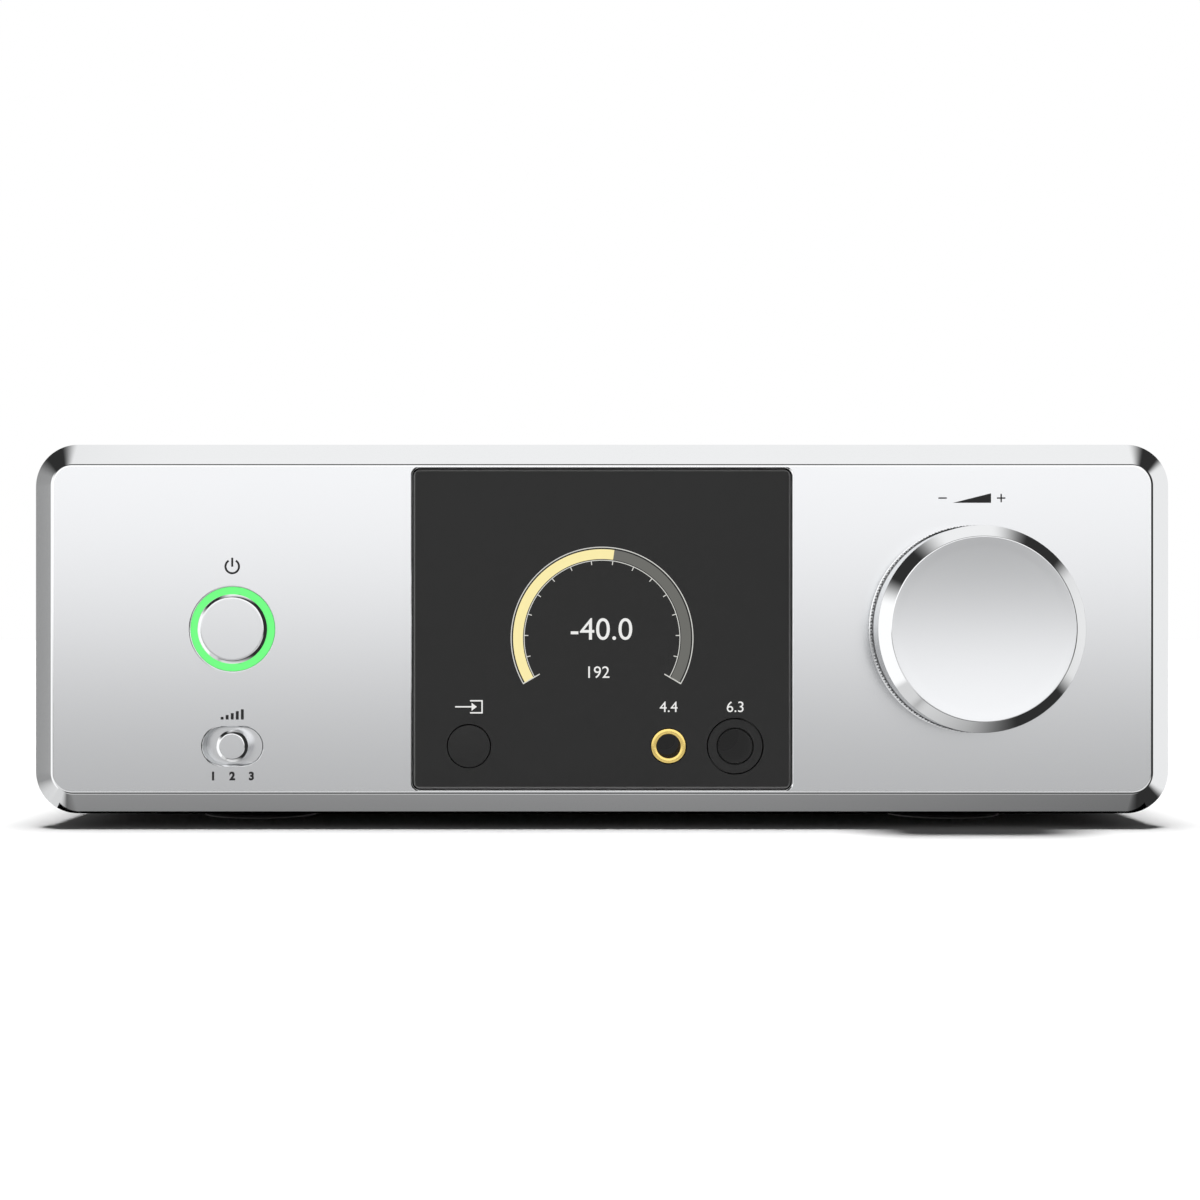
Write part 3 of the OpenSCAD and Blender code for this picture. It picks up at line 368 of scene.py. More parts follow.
def add(material, kind, settings=None, links=None, to=None):
    """A node with its settings, the outputs that feed it and the socket that it feeds."""
    node = material.node_tree.nodes.new(kind)
    for key, value in (settings or {}).items():
        if isinstance(key, str) and hasattr(node, key):
            setattr(node, key, value)
        else:
            node.inputs[key].default_value = value
    for key, output in (links or {}).items():
        material.node_tree.links.new(output, node.inputs[key])
    if to is not None:
        material.node_tree.links.new(next(socket for socket in node.outputs if socket.enabled), to)
    return node


def link(material, output, socket):
    material.node_tree.links.new(output, socket)


def start(name, base, metallic, roughness, specular=0.5, alpha=1.0):
    """A material with one Principled shader. It returns the material and its shader."""
    material = bpy.data.materials.new(name)
    material.use_nodes = True
    material.node_tree.nodes.clear()
    shader = add(material, "ShaderNodeBsdfPrincipled",
                 {"Base Color": colour(base), "Metallic": metallic, "Roughness": roughness,
                  "Specular IOR Level": specular, "Alpha": alpha})
    add(material, "ShaderNodeOutputMaterial", links={"Surface": shader.outputs[0]})
    material.diffuse_color = colour(base)
    return material, shader


# %% [markdown]
# Most finishes use the same few steps: a pattern is placed, and its value stirs the roughness, raises the
# surface or mixes two colours. A real grain is a noise of the right size.

# %% Patterns
def mapped(material, **settings):
    """Object coordinates, moved or scaled along each axis."""
    place = add(material, "ShaderNodeTexCoord")
    return add(material, "ShaderNodeMapping", settings, {"Vector": place.outputs["Object"]}).outputs[0]


def shine(material, shader, base, value, low, high):
    """Let the surface give light of its own, between two strengths."""
    shader.inputs["Emission Color"].default_value = colour(base)
    add(material, "ShaderNodeMapRange", {"To Min": low, "To Max": high}, {"Value": value},
        shader.inputs["Emission Strength"])


def grain(material, shader, per_mm, amount, height_mm=0.0, tint=0.0, scale=(1, 1, 1)):
    """Noise of a real grain size, which stirs the roughness and the surface a little."""
    where = mapped(material, Scale=tuple(s * per_mm / MM for s in scale))
    noise = add(material, "ShaderNodeTexNoise", {"Scale": 1.0, "Detail": 3.0, "Roughness": 0.6},
                {"Vector": where}).outputs[0]
    base = shader.inputs["Roughness"].default_value
    add(material, "ShaderNodeMapRange", {"To Min": base - amount, "To Max": base + amount},
        {"Value": noise}, shader.inputs["Roughness"])
    if height_mm:
        add(material, "ShaderNodeBump", {"Strength": 1.0, "Distance": height_mm * MM}, {"Height": noise},
            shader.inputs["Normal"])
    if tint:
        hue = shader.inputs["Base Color"].default_value[:3]
        dark, light = ([min(c * share, 1) for c in hue] + [1] for share in (1 - tint, 1 + tint))
        add(material, "ShaderNodeMix", {"data_type": "RGBA", "A": dark, "B": light}, {"Factor": noise},
            shader.inputs["Base Color"])
    return noise


def grained(name, base, metallic, roughness, per_mm, amount, height_mm=0.0, tint=0.0, scale=(1, 1, 1),
            **more):
    """A whole material: one colour, one roughness and one grain."""
    material, shader = start(name, base, metallic, roughness, **more)
    grain(material, shader, per_mm, amount, height_mm, tint, scale)
    return material


# %% [markdown]
# ### Anodised aluminium
# The front panel is blasted with fine glass beads and then anodised clear, which leaves a soft satin
# face with a fine grain. After anodising, the bevels are cut again with a diamond tool, which leaves them
# almost like a mirror. The cover and the tray are sheet that is brushed front to back, folded and
# anodised.

# %% Aluminium finishes
SATIN = grained("satin_anodised_aluminium", "#e6e7e9", 1.0, 0.20, 4, 0.02, 0.0008)
CUT = grained("diamond_cut_aluminium", "#f4f5f6", 1.0, 0.07, 2, 0.02)
FOLDED = grained("brushed_folded_aluminium", "#c9cccf", 1.0, 0.34, 5, 0.05, 0.0012, 0.03, (1, 0.02, 1))
MILLED = grained("milled_aluminium", "#d6d8d9", 1.0, 0.42, 1.5, 0.06, 0.002)


def turned_aluminium():
    """The knob's side: lathe lines run round the axis, so roughness changes only along it."""
    material, shader = start("turned_aluminium", "#dcdee0", 1.0, 0.18)
    axis = add(material, "ShaderNodeSeparateXYZ", links={0: mapped(material, Scale=(0, 9000, 0))})
    noise = add(material, "ShaderNodeTexNoise", {"noise_dimensions": "1D", "Scale": 1.0})
    link(material, axis.outputs[1], noise.inputs["W"])
    add(material, "ShaderNodeMapRange", {"To Min": 0.14, "To Max": 0.24}, {"Value": noise.outputs[0]},
        shader.inputs["Roughness"])
    return material


TURNED = turned_aluminium()
print("aluminium finishes:", [m.name for m in (SATIN, CUT, TURNED, FOLDED, MILLED)])

# %% [markdown]
# The knurl is pressed, not cut. Its grooves are painted near black as shade and its tips bright: the shader
# measures how far a point lies from the knob's axis, and mixes from the painted shade in the groove to the
# bright tip.

# %% Knurled finish with painted groove shade
knurl_low, knurl_tip = 19.02, 19.44  # mm from the knob's axis


def knurled_aluminium_painted_groove_shade():
    material, shader = start("knurled_aluminium_painted_groove_shade", "#dcdee0", 1.0, 0.16)
    centred = mapped(material, Location=(-knob_x, 0, -z_mid))
    flat = add(material, "ShaderNodeVectorMath", {"operation": "MULTIPLY", 1: (1, 0, 1)}, {0: centred})
    reach = add(material, "ShaderNodeVectorMath", {"operation": "LENGTH"}, {0: flat.outputs[0]})
    bright_from = knurl_low + 0.7 * (knurl_tip - knurl_low)
    depth = add(material, "ShaderNodeMapRange", {"From Min": knurl_low * MM, "From Max": bright_from * MM},
                {"Value": reach.outputs["Value"]})
    # painted shade: near black at the bottom of a groove, bright at a tip
    add(material, "ShaderNodeMix", {"data_type": "RGBA", "A": colour("#17181a"), "B": colour("#f3f4f5")},
        {"Factor": depth.outputs[0]}, shader.inputs["Base Color"])
    return material


KNURL_PAINTED_GROOVE_SHADE = knurled_aluminium_painted_groove_shade()
print("knurl: dark at", knurl_low, "mm from the axis, bright towards", knurl_tip, "mm")

# %% [markdown]
# ### Everything that isn't metal plate
# Plastics, rubber, circuit boards, wire and light. Each one starts from what it really is: how rough its
# mould or its coating is, and how big its grain, weave or winding is in millimetres. The window is smoked
# acrylic with an anti-glare hard coat: deep grey, nearly without reflections.

# %% Plastics, rubber and glass
def moulded(name, base, roughness=0.45, spark=0.004, **more):
    """Moulded plastic with a fine spark-eroded texture of about a quarter of a millimetre."""
    return grained(name, base, 0.0, roughness, 4, 0.05, spark, 0.06, **more)


def light_guide():
    """Frosted acrylic light guide with a green lamp behind it. Its glow drifts a little."""
    material, shader = start("lit_frosted_acrylic", "#0c2412", 0.0, 0.4, specular=0.2)
    noise = add(material, "ShaderNodeTexNoise", {"Scale": 1.0, "Detail": 2.0},
                {"Vector": mapped(material, Scale=(1500, 1500, 1500))})
    shine(material, shader, "#74fe86", noise.outputs[0], 0.95, 1.03)
    return material


ACRYLIC = grained("smoked_acrylic_antiglare", "#363636", 0.0, 0.42, 6, 0.03, 0.0004, 0.02, specular=0.12)
# lighter grey on the window's bevel: a painted highlight over a smoother, real polish
ACRYLIC_EDGE_PAINTED_HIGHLIGHT = moulded("polished_acrylic_edge_painted_highlight", "#6c6c6c", 0.2, 0.0005)
BLACK_ABS = moulded("moulded_black_abs", "#232324")
WHITE_ABS = moulded("moulded_white_nylon", "#e9e9e4", 0.4)
RED_ABS = moulded("moulded_red_nylon", "#b5221d", 0.4)
ORANGE_ABS = moulded("moulded_orange_nylon", "#d9761c", 0.4)
BUTTON_BLACK = moulded("satin_black_button_abs", "#343434", 0.42, 0.001, specular=0.15)
# near black, painted on the walls of the window's pocket and holes as shade in the gaps
GAP_SHADE_BLACK = moulded("black_painted_gap_shade", "#050505", 0.8)
SLEEVE = moulded("shrink_sleeve_pvc", "#1f2430", 0.3, 0.002)
EPOXY = moulded("epoxy_package", "#18191a", 0.5, 0.003)
INSULATOR = moulded("grey_relay_housing", "#d7dadb", 0.35)
RUBBER = grained("pressed_rubber", "#161616", 0.0, 0.72, 3, 0.06, 0.01, 0.15)
FUSE_GLASS = grained("fuse_tube_glass", "#dfe8ea", 0.0, 0.04, 1, 0.02, alpha=0.45)
GREEN_LIGHT = light_guide()
print("materials so far:", len(bpy.data.materials))

# %% [markdown]
# Plated metal parts: zinc is dull, gold plate is soft because it lies on turned brass, and black oxide
# leaves screws dark. The boards are glass-epoxy with a green solder mask, and copper tracks show under it
# as slightly lighter lines.

# %% Plating, boards and windings
def plated(name, base, roughness, amount=0.04, height_mm=0.0):
    return grained(name, base, 1.0, roughness, 2.5, amount, height_mm, 0.03)


def solder_mask():
    """Green mask over tracks: a brick pattern turned into long thin lines every 1.27 mm."""
    material, shader = start("solder_mask_on_glass_epoxy", "#12442a", 0.0, 0.3)
    tracks = add(material, "ShaderNodeTexBrick",
                 {"offset": 0.37, "Color1": colour("#0f3d26"), "Color2": colour("#13492d"),
                  "Mortar": colour("#2c6b3c"), "Scale": 1.0, "Mortar Size": 0.16, "Brick Width": 11.0,
                  "Row Height": 1.27}, {"Vector": mapped(material, Scale=(1000, 1000, 1000))})
    link(material, tracks.outputs["Color"], shader.inputs["Base Color"])
    add(material, "ShaderNodeBump", {"Strength": 0.6, "Distance": 0.03 * MM},
        {"Height": tracks.outputs["Fac"]}, shader.inputs["Normal"])
    return material


def wound_tape(centre):
    """Polyester tape wound on a ring core: turns fan out from the centre, each lap 4 degrees wide."""
    material, shader = start("wound_polyester_tape", "#c9a63f", 0.0, 0.38)
    split = add(material, "ShaderNodeSeparateXYZ",
                links={0: mapped(material, Location=(-centre.x, -centre.y, 0))})
    angle = add(material, "ShaderNodeMath", {"operation": "ARCTAN2"},
                {0: split.outputs[1], 1: split.outputs[0]})
    laps = add(material, "ShaderNodeMath", {"operation": "MULTIPLY", 1: 90 / (2 * math.pi)},
               {0: angle.outputs[0]})
    lap = add(material, "ShaderNodeMath", {"operation": "FRACT"}, {0: laps.outputs[0]})
    add(material, "ShaderNodeMix", {"data_type": "RGBA", "A": colour("#a88527"), "B": colour("#d8b850")},
        {"Factor": lap.outputs[0]}, shader.inputs["Base Color"])
    add(material, "ShaderNodeBump", {"Strength": 0.7, "Distance": 0.15 * MM}, {"Height": lap.outputs[0]},
        shader.inputs["Normal"])
    return material


def cable_jacket_with_trough_shade(name, base, scale):
    """Ridges along a cable, with painted shade darkening the troughs between them. On the ribbon they are 1.27
    mm apart, one for each wire.
    """
    material, shader = start(name, base, 0.0, 0.45)
    ridges = add(material, "ShaderNodeTexWave",
                 {"wave_type": "BANDS", "bands_direction": "X", "wave_profile": "SIN", "Scale": 0.25,
                  "Distortion": 0.0}, {"Vector": mapped(material, Scale=scale)}).outputs["Fac"]
    add(material, "ShaderNodeBump", {"Strength": 0.8, "Distance": 0.2 * MM}, {"Height": ridges},
        shader.inputs["Normal"])
    # painted shade: the troughs are 30 percent darker than the crests
    dark = [c * 0.7 for c in colour(base)[:3]] + [1]
    add(material, "ShaderNodeMix", {"data_type": "RGBA", "A": dark, "B": colour(base)},
        {"Factor": ridges}, shader.inputs["Base Color"])
    return material


ZINC = plated("zinc_plated_steel", "#b9bcbd", 0.3, 0.08, 0.002)
GOLD = plated("gold_plated_brass", "#ffdf86", 0.24)
BRASS = plated("turned_brass", "#c9a24a", 0.28)
BLACK_OXIDE = plated("black_oxide_steel", "#2b2c2e", 0.38, 0.06)
BLACK_ANODISED = plated("black_anodised_aluminium", "#26282a", 0.42, 0.05, 0.002)
BOARD = solder_mask()
TAPE = wound_tape(middle(*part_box("transformer")))
RIBBON = cable_jacket_with_trough_shade("ribbon_cable_pvc", "#a9adb0", (1000, 0, 0))
LEADS = cable_jacket_with_trough_shade("red_lead_pvc", "#9c2622", (300, 300, 300))
print("metals, boards and windings:", [m.name for m in (ZINC, GOLD, BRASS, BOARD, TAPE, RIBBON, LEADS)])

# %% [markdown]
# Ink and light. The panel's legends are screen-printed, a film of ink a few hundredths of a millimetre
# thick. The display is a lit panel behind the window, so its figures give their own light. The white
# marks on the window glow too: painted light that brightens their ink.

# %% Ink and display light
def lit(name, base):
    """Light from a display. Its pixels are far too fine to show, so only a faint drift is left."""
    material, shader = start(name, "#0a0a0a", 0.0, 0.5, specular=0.0)
    noise = add(material, "ShaderNodeTexNoise", {"Scale": 1.0, "Detail": 1.0},
                {"Vector": mapped(material, Scale=(800, 800, 800))})
    shine(material, shader, base, noise.outputs[0], 0.97, 1.0)
    return material


def contact_block_with_painted_glow():
    """Black nylon inside the jacks, with a faint painted glow in place of light that scatters in the hole,
    which lifts it to a very dark grey.
    """
    material, shader = start("black_nylon_contact_block", "#1a1a1a", 0.0, 0.6)
    noise = grain(material, shader, per_mm=3, amount=0.05, height_mm=0.004)
    # painted light: a faint white glow that stands in for light scattered inside the hole
    shine(material, shader, "#ffffff", noise, 0.018, 0.024)
    return material


DARK_HOLE_PAINTED_GLOW = contact_block_with_painted_glow()
DARK_INK = grained("dark_grey_screen_ink", "#0e0f10", 0.0, 0.55, 12, 0.05, 0.002, 0.08)
LIT_YELLOW = lit("display_light_yellow", "#fceeae")
LIT_GREY = lit("display_light_grey", "#6f6f6b")
# also worn by the white marks on the window, where its glow is painted light
WHITE_DISPLAY_LIGHT_AND_INK_GLOW = lit("white_display_light_and_ink_glow", "#eeeeec")
LIT_LINE = lit("display_light_line", "#d6d6d1")
print("materials:", len(bpy.data.materials))

# %% [markdown]
# ## The front panel
# A slab of aluminium 8 mm thick. Its corners are rounded in plan, then a broad bevel is cut right round
# the front at 45 degrees, and a small arc eases that bevel into the face. Both come from Inset, which can
# push the face forwards while it shrinks it. The pockets and holes are cut afterwards.

# %% Front panel blank
bevel_depth = bevel + 0.12 * MM
panel = rounded_plate("front_panel_machined", (panel_low.x, y_face + bevel_depth, panel_low.z),
                      panel_high, 8 * MM, 28)
arc = [(2 * bevel_depth - reach, front) for reach, front in
       edge_arc(bevel_depth, bevel_depth, 0.95 * MM, 8)]
moves = [(0, 0)] + arc[::-1]
step_front_face(panel, [(b[0] - a[0], b[1] - a[1]) for a, b in zip(moves, moves[1:])])
print("blank:", len(panel.data.polygons), "faces")

# %% [markdown]
# Each cutter is a solid that sticks out of the front, so the cut leaves no film. A stadium is two round
# ends and the sides between them, so it is a rounded plate whose radius is half its height. A second,
# flared cutter bevels the mouth of a hole.

# %% Window pocket, gain slot and ring seat
def about(centre, half):
    """A range round a centre, with its half width in mm."""
    return centre - half * MM, centre + half * MM


def mill(piece, x_range, z_range, y_range, radius, segments=8, flared=0.0):
    """Cut away a box with rounded corners. The radius and the flare are in mm."""
    low, high = zip(x_range, y_range, z_range)
    cutter = rounded_plate("cutter", low, high, radius * MM, segments)
    if flared:
        flare(cutter, flared * MM)
    cut(piece, cutter)


def drill(piece, x, z, radius, front, back, steps):
    """Cut a round hole. The radius and both ends are in mm, measured from the panel's face."""
    cut(piece, turned("cutter", (x, y_face, z),
                      [(0, front), (radius, front), (radius, back), (0, back)], steps))


rim, window_gap, ledge = 0.25, 0.15, 2.5  # mm: mouth bevel, room round the window, ledge it is glued to
pocket_r, slot_r = 1.4, 3.54
flare_by = rim + 0.5
ring_in, ring_out = 6.65, 7.85
bore_r = ring_out + 0.05
in_front, behind = y_face - 1 * MM, panel_high.y + 1 * MM
mouth = (y_face + rim * MM, y_face + 1 * MM)
wide = (window_low.x - window_gap * MM, window_high.x + window_gap * MM)
tall = (window_low.z - window_gap * MM, window_high.z + window_gap * MM)
mill(panel, wide, tall, (in_front, window_high.y + 0.1 * MM), pocket_r)
mill(panel, wide, tall, mouth, pocket_r, flared=flare_by)
mill(panel, (wide[0] + ledge * MM, wide[1] - ledge * MM),
     (window_low.z + ledge * MM, window_high.z - ledge * MM), (in_front, behind), pocket_r)
mill(panel, about(power_x, 5.6), about(z_low, 3.55), (in_front, behind), slot_r, 24)
mill(panel, about(power_x, 5.6), about(z_low, 3.55), mouth, slot_r, 24, flare_by)
cut(panel, turned("cutter", (power_x, y_face, z_mid),
                  [(0, 1), (bore_r + rim + 1, 1), (bore_r, -rim), (bore_r, -9), (0, -9)]))
drill(panel, knob_x, z_mid, 4, 2, -9, 64)
mill(panel, about(power_x, 11.2), about(z_low, 4.75), (y_face + 3.4 * MM, behind), 0.5, 4)
print("panel after cutting:", len(panel.data.polygons), "faces")

# %% [markdown]
# The edges of the cuts are broken by a twentieth of a millimetre. Faces that lean between the front and
# the sides belong to the diamond-cut bevels and get their own finish. The walls of the pocket are painted
# black as shade, so the gap round the window reads dark, and the walls of the slot are bare milled metal.

# %% Panel edges and finishes
def depth(face):
    return (face.center.y - y_face) / MM


break_edges(panel, 0.05 * MM)
dress(panel, 25, [SATIN, CUT, GAP_SHADE_BLACK, MILLED], "case", "silver_anodised", "front_panel")
paint(panel, 3, lambda f: depth(f) > rim - 0.02
      and math.hypot(f.center.x - power_x, f.center.z - z_low) < 9 * MM)
# painted shade: the pocket's walls are black, so the gap round the window reads dark
paint(panel, 2, lambda f: depth(f) > 0.25 and abs(f.center.x) < window_high.x + 0.3 * MM
      and abs(f.center.z - z_mid) < window_high.z - z_mid + 0.3 * MM)
paint(panel, 1, lambda f: depth(f) < bevel_depth / MM + 0.01 and -0.995 < f.normal.y < -0.2)
print("panel box:", [round(v / MM, 2) for v in panel.dimensions])

# %% [markdown]
# ## The window
# A sheet of smoked acrylic drops into the pocket and is glued down. It is one flat plate with round
# corners and a polished edge, whose bevel is painted a lighter grey as a highlight, drilled for a button and
# two jacks.

# %% Display window
shy = 0.08 * MM
window = rounded_plate("display_window_plate", (window_low.x + shy, y_face + 0.22 * MM, window_low.z + shy),
                       (window_high.x - shy, window_high.y, window_high.z - shy), 1.25 * MM, 10)
step_front_face(window, [(0.22 * MM, 0.16 * MM), (0.06 * MM, 0.0), (0.05 * MM, 0.06 * MM)])
for x, radius in ((source_x, 4.16), (balanced_x, 3.4), (stereo_x, 5.34)):
    drill(window, x, z_low, radius, 2, -4, 96)


def at_rim(face):
    return (abs(face.center.x) > window_high.x - 0.5 * MM
            or abs(face.center.z - z_mid) > window_high.z - z_mid - 0.5 * MM)


break_edges(window, 0.03 * MM)
dress(window, 25, [ACRYLIC, ACRYLIC_EDGE_PAINTED_HIGHLIGHT, GAP_SHADE_BLACK], "case", "window_black", "display_window")
# painted shade: the window's sides and the walls of its holes are black
paint(window, 2, lambda f: abs(f.normal.y) < 0.2)
# painted highlight: the rim's bevel wears the lighter grey
paint(window, 1, lambda f: at_rim(f) and f.normal.y > -0.95)
print("window:", len(window.data.polygons), "faces")

# %% [markdown]
# ## The power button and its light
# The button is a turned disc with a polished chamfer. The light guide round it is a tube of frosted
# acrylic that ends a little below the panel, so the hole's rim frames it as a thin line.

# %% Power button and light ring
def low_chamfer(radius, front):
    """Outline of a 38 degree chamfer, 0.7 mm wide, with eased corners."""
    return [(radius - back, front - drop) for back, drop in
            ((0.72, 0), (0.64, 0.012), (0.57, 0.045), (0.51, 0.085), (0.07, 0.43), (0.02, 0.475), (0, 0.55))]


power_r, proud = 6.55, 0.4
button_back = (y_face - power_high.y) / MM
button = turned("power_button_turned", (power_x, y_face, z_mid), [
    (0, proud), (power_r - 0.95, proud), *low_chamfer(power_r, proud), (power_r, button_back + 1),
    (power_r + 1.45, button_back + 1), (power_r + 1.45, button_back), (0, button_back)])
dress(button, 25, [SATIN, CUT], "power", "silver_anodised", "power_button")
paint(button, 1, leans)
ring_back = (y_face - ring_high.y) / MM
light_ring = turned("power_light_guide", (power_x, y_face, z_mid), [
    (ring_in, -0.85), (ring_in + 0.06, -0.8), (ring_out - 0.06, -0.8), (ring_out, -0.85),
    (ring_out, ring_back + 1.5), (ring_out + 1.65, ring_back + 1.5), (ring_out + 1.65, ring_back),
    (ring_in, ring_back)], closed=True)
dress(light_ring, 30, [GREEN_LIGHT], "case", "light_green", "power_light_ring")
print("button and ring:", len(button.data.polygons), "and", len(light_ring.data.polygons), "faces")

# %% [markdown]
# ## The gain switch
# A round pin with a chamfered rim slides left and right in a slot. Its plate lies behind the panel and
# closes the slot at every position.

# %% Gain switch pin and plate
plate_y = y_face + 3.5 * MM
pin_r, pin_front = 3.0, (y_face - gain_low.y) / MM
pin = turned("gain_pin", (gain_x, y_face, z_low), [
    (0, pin_front), (pin_r - 0.8, pin_front), *low_chamfer(pin_r, pin_front), (pin_r, -3.6), (0, -3.6)], 96)
gain_plate = rounded_plate("gain_plate", (gain_low.x, plate_y, gain_low.z),
                           (gain_high.x, plate_y + 1.2 * MM, gain_high.z), 0.4 * MM, 4)
gain_block = rounded_plate("gain_block", (gain_x - 2.3 * MM, plate_y + 1.19 * MM, z_low - 2 * MM),
                           (gain_x + 2.3 * MM, gain_high.y, z_low + 2 * MM), 0.3 * MM, 4)
mill(gain_block, about(gain_x, 1.05), about(z_low, 1.05), (gain_high.y - 4 * MM, gain_high.y + 1 * MM), 0.1, 2)
slider = join("gain_slider_pin", [pin, gain_plate, gain_block])
dress(slider, 25, [SATIN, CUT], "gain", "silver_anodised", "gain_slider")
paint(slider, 1, leans)
print("gain slider:", [round(v / MM, 2) for v in slider.dimensions], "mm")

# %% [markdown]
# ## The source button and the jacks
# Three turned parts stand in the window's holes: a moulded button, a gold-plated ring round the small
# balanced jack, and a black threaded collar round the large stereo jack.

# %% Source button, gold ring and black collar
source_back, gold_back, collar_back = ((y_face - high.y) / MM for high in (source_high, gold_high, collar_high))
source = turned("source_button_moulded", (source_x, y_face, z_low), [
    (0, 0), (3.82, 0), (3.92, -0.03), (3.98, -0.09), (4, -0.2), (4, -3.1), (5, -3.1), (5, source_back),
    (0, source_back)], 112)
dress(source, 30, [BUTTON_BLACK], "source", "moulded_black", "source_button")
gold = turned("balanced_jack_gold_ring", (balanced_x, y_face, z_low), [
    (2.25, -0.24), (2.29, -0.14), (2.36, -0.1), (3.16, -0.1), (3.24, -0.14), (3.28, -0.24),
    (3.28, gold_back), (2.25, gold_back)], 112, closed=True)
dress(gold, 40, [GOLD], "case", "jack_gold", "balanced_jack_ring")
collar = turned("stereo_jack_black_collar", (stereo_x, y_face, z_low), [
    (3.05, -0.3), (3.08, -0.2), (3.16, -0.14), (3.25, -0.2), (3.27, -1.0), (3.5, -1.0), (3.5, -0.16),
    (3.56, -0.1), (5.04, -0.1), (5.12, -0.15), (5.15, -0.28), (5.15, collar_back), (3.05, collar_back)],
    128, closed=True)
dress(collar, 30, [BUTTON_BLACK, DARK_HOLE_PAINTED_GLOW], "case", "moulded_black", "stereo_jack_collar")
# the collar's bore wears the painted glow too
paint(collar, 1, lambda f: math.hypot(f.center.x - stereo_x, f.center.z - z_low) < 3.1 * MM and depth(f) > 0.3)
print("turned parts:", [piece.name for piece in (source, gold, collar)])

# %% [markdown]
# ## The volume knob
# A solid knob turned from bar. Its face is very slightly hollow, which gathers the light into a soft
# gradient. A polished chamfer runs round it, the side is bright and smooth, and the foot is a narrow
# band with a diamond knurl for the fingers.

# %% Knob body
knob_r, knob_h, knob_bevel, dish = 19, 11.5, 2.1, 0.6
grip_h, groove = 2.7, 0.4
hub_r, shaft_r, hub_floor = 6.5, 3.02, knob_h - 3.5
face_r = knob_r - knob_bevel
knob_back = knob_high.y
hollow = [(face_r * i / 24, knob_h - dish * (1 - (i / 24) ** 2)) for i in range(23)]
knob = turned("volume_knob_turned", (knob_x, knob_back, z_mid), [
    *hollow, *edge_arc(face_r, knob_h, 0.35), *rim_arc(knob_r, knob_h - knob_bevel, 0.15),
    (knob_r, grip_h + groove + 0.08), (knob_r - 0.08, grip_h + groove), (knob_r - groove, grip_h + groove),
    (knob_r - groove, 0.02), (knob_r - 3, 0), (knob_r - 3, hub_floor), (hub_r, hub_floor), (hub_r, 0.3),
    (shaft_r, 0.3), (shaft_r, hub_floor), (0, hub_floor)], 192)
print("knob body:", len(knob.data.polygons), "faces")

# %% [markdown]
# The knurl is two sets of crossed grooves, which leave rows of small four-sided pyramids. The band is
# spun with square cells of half the knurl's pitch. Every other crossing is then pushed outwards to be a
# tip, and each cell is split along the groove that joins its two low corners.

# %% Diamond knurl
knurl_columns, knurl_rows, lip = 200, 4, 0.3
row_h = (grip_h - 2 * lip) / knurl_rows
rows = [(knurl_low, lip + row_h * i) for i in range(knurl_rows + 1)]
band = turned("knurl", (knob_x, knob_back, z_mid), [
    (18.45, 0.02), (knurl_tip - 0.05, 0.02), (knurl_tip, 0.07), (knurl_tip, lip - 0.1), *rows,
    (knurl_low, grip_h - 0.05), (18.97, grip_h), (18.45, grip_h)], knurl_columns, closed=True)


def from_axis(point):
    """Distance from the knob's axis, in mm."""
    return math.hypot(point.x - knob_x, point.z - z_mid) / MM


def knurl_place(point):
    """Column and row of a point on the band, in cells."""
    angle = math.atan2(point.z - z_mid, point.x - knob_x)
    return angle / (2 * math.pi) * knurl_columns, ((knob_back - point.y) / MM - lip) / row_h


def is_tip(vertex):
    column, row = knurl_place(vertex.co)
    on_band = abs(from_axis(vertex.co) - knurl_low) < 0.01
    return on_band and 0.5 < row < knurl_rows - 0.5 and (round(column) + round(row)) % 2 == 1


edit(band, "FACE")
for parity, method in ((0, "FIXED"), (1, "FIXED_ALTERNATE")):
    def cell(face):
        centre = face.calc_center_median()
        column, row = knurl_place(centre)
        on_band = from_axis(centre) > knurl_low - 0.02
        in_rows = 0 < row < knurl_rows and len(face.verts) == 4
        return on_band and in_rows and (math.floor(column) + math.floor(row)) % 2 == parity
    choose(band, "FACE", cell)
    bpy.ops.mesh.quads_convert_to_tris(quad_method=method)
bpy.ops.mesh.select_mode(type="VERT")
tips = choose(band, "VERT", is_tip)
grow = knurl_tip / knurl_low
bpy.ops.transform.resize(value=(grow, 1, grow), center_override=(knob_x, 0, z_mid))
leave_edit()
print("knurl:", tips, "tips,", len(band.data.polygons), "faces")

# %% [markdown]
# The hidden set screw comes in from below, so the knob has one radial hole in its side. The knurled band
# keeps its flat facets, while the turned surfaces are shaded smooth.

# %% Finish the knob
screw_y = middle(*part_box("knob_set_screw")).y
deselect()
bpy.ops.mesh.primitive_cylinder_add(vertices=48, radius=1.5 * MM, depth=17 * MM,
                                    location=(knob_x, screw_y, z_mid - 12.5 * MM))
cut(knob, bpy.context.object)
dress(knob, 25, [SATIN, CUT, TURNED], "knob", "silver_anodised", "volume_knob")
paint(knob, 2, lambda f: from_axis(f.center) > knob_r - 1
      and (knob_back - f.center.y) / MM < knob_h - knob_bevel)
paint(knob, 1, lambda f: from_axis(f.center) > face_r - 0.1 and leans(f))
band.name = "volume_knob_knurl"
band.visible_glossy = False
# the knurl wears painted shade in its grooves
wear(band, KNURL_PAINTED_GROOVE_SHADE)
settle(band, "knob", "silver_anodised")
print("knob after its screw hole:", len(knob.data.polygons), "faces")

# %% [markdown]
# ## Printed legends
# Small pictures and figures are screen-printed beside the controls. A letter starts as a text object,
# which is turned into a mesh and scaled to its true height. Strokes and rings are built as flat plates.
# All of it is a film that stands 0.03 mm proud. Sizes are in mm, measured from the mark's own centre.

# %% Drawing with flat pieces
FILM = 0.03 * MM
SUNK = 0.01 * MM  # how far a film dips into the face that it is printed on


